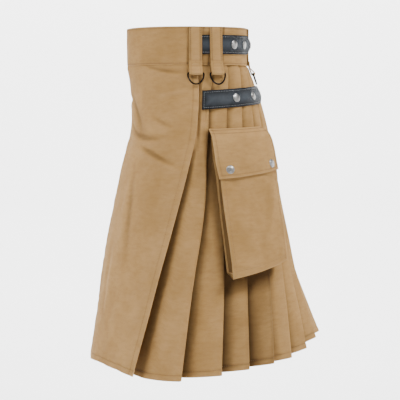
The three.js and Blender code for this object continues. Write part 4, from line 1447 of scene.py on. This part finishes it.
def buildLoop(name, s, seat, ground, seed):
    look = loopLook
    at = loopFrame(s)
    eye = eyeCentre(at, s, seat, ground)
    half = look["cloth"] / 2
    bandDrops = (1, 1.6, 2.6, 4, 12, 24, 36, 48, 58, 64, 68)
    down = [profilePoint(at, drop, s, seat + half) for drop in bandDrops]
    turn = np.linspace(math.pi, 2 * math.pi + 0.75, 20)
    bend = [eye + look["eyeMiddle"] * np.array([math.cos(a), math.sin(a)]) for a in turn]
    layer = look["cloth"] * 1.02
    backDrops = np.array([71.5, 70, 68, 66, 64, 62, 61, 60.4, 60])
    back = [profilePoint(at, drop, s, seat + half + layer) for drop in backDrops]
    path = np.array(down + bend + back)
    run = np.concatenate([[0], np.cumsum(np.linalg.norm(np.diff(path, axis=0), axis=1))])
    across = spread(-look["width"] / 2, look["width"] / 2, 1.8)
    fromSide = (look["width"] / 2 - np.abs(across))[None, :]
    fromEnd = np.minimum(run, run[-1] - run)[:, None]
    relief = 0.18 * softNoise(across[None, :] / 7, run[:, None] / 9, seed)
    relief = relief - 0.3 * glow(fromSide - 3, 0.9) - 0.3 * glow(run[:, None] - run[-1] + 3, 0.9)
    relief = relief * np.clip(fromEnd / 2, 0, 1)
    tangent = np.gradient(path, axis=0)
    tangent /= np.linalg.norm(tangent, axis=1, keepdims=True)
    # Going down the band, the right side of the strip faces out of the cloth.
    normal = np.stack([-tangent[:, 1], tangent[:, 0]], 1)
    thick = look["cloth"] * rounded(fromSide, 1.6) * rounded(fromEnd, 1.6)
    # The strip bends round the waist with the band it is sewn to.
    sag = bandBend(at, s, across)
    walls = []
    for sign in (1, -1):
        lift = sign * thick / 2 + np.maximum(relief, -0.35) * (sign > 0)
        flat = path[:, None, :] + normal[:, None, :] * lift[..., None]
        walls.append(
            at["origin"]
            + (flat[..., 0:1] + sag[None, :, None]) * mm * at["out"]
            + flat[..., 1:2] * mm * at["up"]
            - across[None, :, None] * mm * at["along"]
        )
    outer, inner = walls
    turnedUp = np.clip((run[:, None] - run[31]) / 1.5, 0, 1)
    boxEnd, boxStart = run[-1] - 3.2, run[-1] - 10.2
    boxed = glow(run[:, None] - boxEnd, 0.9) + glow(run[:, None] - boxStart, 0.9)
    arch = np.sqrt(np.clip(1 - (across / look["stitchAside"]) ** 2, 0, 1))
    arched = boxStart + (boxEnd - boxStart) * arch
    boxed = boxed + glow(run[:, None] - arched[None, :], 0.9)
    # The strip's edges and ends and its lines of stitching are darkened as painted shade; the top
    # of the bend is worn lighter.
    wear = 0.22 - 0.75 * glow(fromSide, 1.5) - 0.6 * glow(fromEnd, 1.2)
    wear = wear + 0.45 * glow(run[:, None] - run[20], 5)
    wear = wear - 0.5 * glow(np.abs(across)[None, :] - look["stitchAside"], 1.0)
    wear = wear - 0.6 * boxed * turnedUp * (np.abs(across) < look["stitchAside"] + 0.6)[None, :]
    u, v = across[None, :] * mm, run[:, None] * mm
    piece = clothShell(camelName("loop", name), outer, inner, u, v, np.clip(wear, -1, 1))
    dress(piece, canvas, [f"loop_{name}"])
    made = {"outer": outer, "normal": outwardAt(outer)}
    backRows = len(down) + len(turn) + np.arange(len(backDrops))

    def column(place):
        return np.interp(place, across, np.arange(len(across)))

    def backRow(drop):
        return np.interp(-np.asarray(drop, float), -backDrops, backRows)

    sides = (-look["stitchAside"], look["stitchAside"])
    downRows = np.linspace(1.5, len(down) - 2.5, 60)
    seams = [seamThrough(made, downRows, column(place) + 0 * downRows) for place in sides]
    boxRows = backRow(np.linspace(70.4, 63.2, 8))
    seams += [seamThrough(made, boxRows, column(place) + 0 * boxRows) for place in sides]
    crossing = np.linspace(*sides, 16)
    for drop in (63.2, 70.2):
        seams.append(seamThrough(made, backRow(drop) + 0 * crossing, column(crossing)))
    arch = np.linspace(math.pi, 0, 22)
    archDrop = 70.0 - 6.2 * np.sin(arch)
    archPlace = look["stitchAside"] * 0.86 * np.cos(arch)
    seams.append(seamThrough(made, backRow(archDrop), column(archPlace)))
    return seams, at, eye


def bandBend(at, s, across):
    # How far the band curves away behind a straight strip, in mm, at places across the loop.
    points = clothPoint(kilt["bandHeight"], s + across, 0)
    return (points - at["origin"]) @ at["out"] / mm


def ringShape():
    # A D of round wire: a straight bar with a bow under it, as a bevelled curve made a mesh.
    look = ringLook
    bpy.ops.object.select_all(action="DESELECT")
    bpy.ops.curve.primitive_bezier_circle_add(radius=look["halfWidth"] * mm, location=(0, 0, 0))
    ring = bpy.context.object
    spline = ring.data.splines[0]
    w, deep, corner = look["halfWidth"], look["reach"], 2.4
    points = [
        ((-w + corner, 0), (-w + corner + 3, 0), (-w + 0.9, 0)),
        ((-w, -corner), (-w, -0.9), (-w, -corner - 7.6)),
        ((0, -deep), (-w * 0.62, -deep), (w * 0.62, -deep)),
        ((w, -corner), (w, -corner - 7.6), (w, -0.9)),
        ((w - corner, 0), (w - 0.9, 0), (w - corner - 3, 0)),
    ]
    spline.bezier_points.add(len(points) - len(spline.bezier_points))
    for bezier, (middle, before, after) in zip(spline.bezier_points, points):
        bezier.handle_left_type = bezier.handle_right_type = "FREE"
        bezier.co = Vector((*middle, 0)) * mm
        bezier.handle_left = Vector((*before, 0)) * mm
        bezier.handle_right = Vector((*after, 0)) * mm
    spline.use_cyclic_u = True
    ring.data.dimensions = "3D"
    ring.data.bevel_depth = look["wire"] * mm
    ring.data.bevel_resolution = 5
    ring.data.resolution_u = 14
    bpy.ops.object.convert(target="MESH")
    ring = bpy.context.object
    bpy.ops.object.mode_set(mode="EDIT")
    bpy.ops.mesh.select_all(action="SELECT")
    bpy.ops.mesh.remove_doubles(threshold=0.00001)
    bpy.ops.mesh.normals_make_consistent(inside=False)
    bpy.ops.object.mode_set(mode="OBJECT")
    bpy.ops.object.shade_smooth()
    return ring


def placeCopy(shape, name, matrix, material, body, node):
    piece = bpy.data.objects.new(name, shape.data.copy())
    bpy.context.scene.collection.objects.link(piece)
    piece.data.transform(matrix)
    piece.data.materials.clear()
    dress(piece, material, [node], body)


def buildRing(shape, name, s, ground, at, eye):
    look = ringLook
    clear = ground + look["standOff"] + look["wire"]
    foot = profilePoint(at, loopLook["eyeDrop"] + look["reach"], s, clear)
    lean = math.asin((foot[0] - eye[0]) / look["reach"])
    down = at["out"] * math.sin(lean) - at["up"] * math.cos(lean)
    x, y = at["along"], -down
    place = at["origin"] + at["out"] * eye[0] * mm + at["up"] * eye[1] * mm
    matrix = frameMatrix(x, y, np.cross(x, y), place)
    node = f"ring_{name}"
    placeCopy(shape, camelName("ring", name), matrix, ringMetal, node, node)


loopSeams = []
ringModel = ringShape()
for seed, (name, (seat, ground)) in enumerate(loopLook["seats"].items()):
    s = loopPlaces[name]
    seams, at, eye = buildLoop(name, s, seat, ground, 400 + seed)
    loopSeams += seams
    buildRing(ringModel, name, s, ground, at, eye)
bpy.data.objects.remove(ringModel)
stitches("loopStitches", loopSeams, shadedLoopThread, 0.95)
print("loops and rings made")

# Snap caps: domed nickel discs, one on each stud of the straps and flaps.
snapLook = {
    "radius": 7.5,
    "rim": 0.8,
    "sides": 48,
    # Each step from the rim to the middle: how far in and how far up.
    "rings": [
        (0.35, 0.3), (0.6, 0.34), (1.1, 0.36), (0.5, 0.02), (0.3, 0.22), (1.4, 0.24), (1.5, 0.1),
    ],
}


def snapShape():
    look = snapLook
    bpy.ops.object.select_all(action="DESELECT")
    bpy.ops.mesh.primitive_cylinder_add(
        vertices=look["sides"], radius=look["radius"] * mm, depth=look["rim"] * mm,
        location=(0, 0, look["rim"] * mm / 2),
    )
    cap = bpy.context.object
    bpy.ops.object.transform_apply(location=True, rotation=True, scale=True)
    bpy.ops.object.mode_set(mode="EDIT")
    bpy.ops.mesh.select_all(action="DESELECT")
    bpy.ops.object.mode_set(mode="OBJECT")
    for polygon in cap.data.polygons:
        polygon.select = polygon.normal.z > 0.9
    bpy.ops.object.mode_set(mode="EDIT")
    bpy.ops.mesh.select_mode(type="FACE")
    for inward, upward in look["rings"]:
        bpy.ops.mesh.inset(thickness=inward * mm, depth=upward * mm)
    bpy.ops.mesh.select_all(action="SELECT")
    bpy.ops.mesh.normals_make_consistent(inside=False)
    bpy.ops.object.mode_set(mode="OBJECT")
    bpy.ops.object.shade_smooth_by_angle(angle=math.radians(28))
    bevel = cap.modifiers.new("rim", "BEVEL")
    bevel.width = 0.2 * mm
    bevel.segments = 2
    bevel.limit_method = "ANGLE"
    bevel.angle_limit = math.radians(50)
    bpy.ops.object.modifier_apply(modifier=bevel.name)
    return cap


def snapPlace(drop, s, out):
    # A frame on the cloth: x along it, y up it and z square out of it.
    up = clothPoint(drop - 5, s, out) - clothPoint(drop + 5, s, out)
    along = clothPoint(drop, s + 5, out) - clothPoint(drop, s - 5, out)
    up /= np.linalg.norm(up)
    along /= np.linalg.norm(along)
    normal = np.cross(along, up)
    normal /= np.linalg.norm(normal)
    return frameMatrix(np.cross(up, normal), up, normal, clothPoint(drop, s, out))


def placeSnap(matrix, kind, sideName, number):
    title = f"snap{kind.capitalize()}{sideName.capitalize()}{number}"
    node = f"stud_{kind}_{sideName}_{number}"
    placeCopy(snapModel, title, matrix, snapMetal, "root", node)


snapModel = snapShape()
strapFace = strapLook["inner"] + strapLook["thick"] - 0.25
for side, sideName in ((1, "left"), (-1, "right")):
    for kind in ("waist", "hip"):
        strap = strapLook[kind]
        for number, s in enumerate(strap["studs"], 1):
            matrix = snapPlace(float(strapMiddle(strap, s)), side * s, strapFace)
            placeSnap(matrix, kind, sideName, number)
    made, flapDrops, flapColumns = flapsMade[sideName.capitalize()]
    for number, (across, drop) in enumerate(pocketLook["studs"], 1):
        row, column = nearest(flapDrops, drop), nearest(flapColumns, across)
        place, normal = made["outer"][row, column], made["normal"][row, column]
        up = made["outer"][row - 2, column] - made["outer"][row + 2, column]
        x = np.cross(up, normal)
        x /= np.linalg.norm(x)
        matrix = frameMatrix(x, np.cross(normal, x), normal, place - normal * 0.1 * mm)
        placeSnap(matrix, "flap", sideName, number)
bpy.data.objects.remove(snapModel)
print("snaps made")

# Studio: a pale floor that curves up all round, soft lights, and the camera at the photo's angle.
studio = {
    "floor": -1.03,
    "turn": 85.0,
    "away": 2.7,
    "aside": 0.0235,
    "height": -0.084,
    "pitch": 4.2,
    "lens": 130.5,
}


def backdropMaterial():
    material, make, join = nodeMaker("pale paper")
    place = make("ShaderNodeTexCoord")
    noise = make("ShaderNodeTexNoise", Scale=2.0, Detail=2.0)
    join(place, "Object", noise, "Vector")
    tone = ramp(make, join, noise, "Fac", 0.3, 0.7, 0, 1)
    colour = blendColour(make, join, tone, "Result", (0.88, 0.88, 0.88, 1), (0.90, 0.90, 0.90, 1))
    finishSurface(make, join, colour, 2, Roughness=0.9)
    return material


def buildStudio():
    turn = math.radians(studio["turn"])
    right = Vector((math.cos(turn), math.sin(turn), 0))
    view = Vector((-math.sin(turn), math.cos(turn), 0))
    # The paper runs all the way round, so that it stands behind the kilt from any side.
    reach = np.array([0.02, 1.5, 3.0, 3.35, 3.65, 3.85, 3.95, 4.0])
    height = np.array([0, 0, 0, 0.04, 0.18, 0.45, 0.9, 1.9]) + studio["floor"]
    angle = np.arange(64) * 2 * math.pi / 64
    x, y = reach[:, None] * np.cos(angle), reach[:, None] * np.sin(angle)
    points = np.stack([x, y, height[:, None] + 0 * angle], 2)
    faces = roundFaces(*points.shape[:2])[2]
    paper = newMesh("paperSweep", points.reshape(-1, 3), faces)
    paper.data.shade_smooth()
    paper.data.materials.append(backdropMaterial())
    world = bpy.data.worlds.new("studio")
    world.use_nodes = True
    background = world.node_tree.nodes["Background"]
    background.inputs["Color"].default_value = (1, 1, 1, 1)
    background.inputs["Strength"].default_value = 0.03
    bpy.context.scene.world = world
    lights = [
        # name, to the right, along the view, height, size, power
        ("leftLight", -1.9, -1.4, 1.9, 0.6, 70),
        ("rightLight", 1.95, -0.95, 1.7, 0.6, 62),
        ("frontLight", 0.6, -2.0, 2.6, 0.5, 40),
        ("paperLight", 0.0, 1.6, 2.5, 2.6, 620),
    ]
    for name, x, y, z, size, power in lights:
        data = bpy.data.lights.new(name, "AREA")
        data.energy = power
        data.size = size
        lamp = bpy.data.objects.new(name, data)
        bpy.context.scene.collection.objects.link(lamp)
        lamp.location = right * x + view * y + Vector((0, 0, z))
        aim = Vector((0, 0, -0.25))
        if name == "paperLight":
            aim = view * 4.2 + Vector((0, 0, -0.5))
        lamp.rotation_euler = (aim - lamp.location).to_track_quat("-Z", "Y").to_euler()
    data = bpy.data.cameras.new("camera")
    data.lens = studio["lens"]
    data.sensor_width = 36
    camera = bpy.data.objects.new("camera", data)
    bpy.context.scene.collection.objects.link(camera)
    camera.location = right * studio["aside"] - view * studio["away"]
    camera.location.z += studio["height"]
    pitch = math.radians(studio["pitch"])
    look = view * math.cos(pitch) - Vector((0, 0, math.sin(pitch)))
    camera.rotation_euler = look.to_track_quat("-Z", "Y").to_euler()
    bpy.context.scene.camera = camera


buildStudio()
print("studio made")
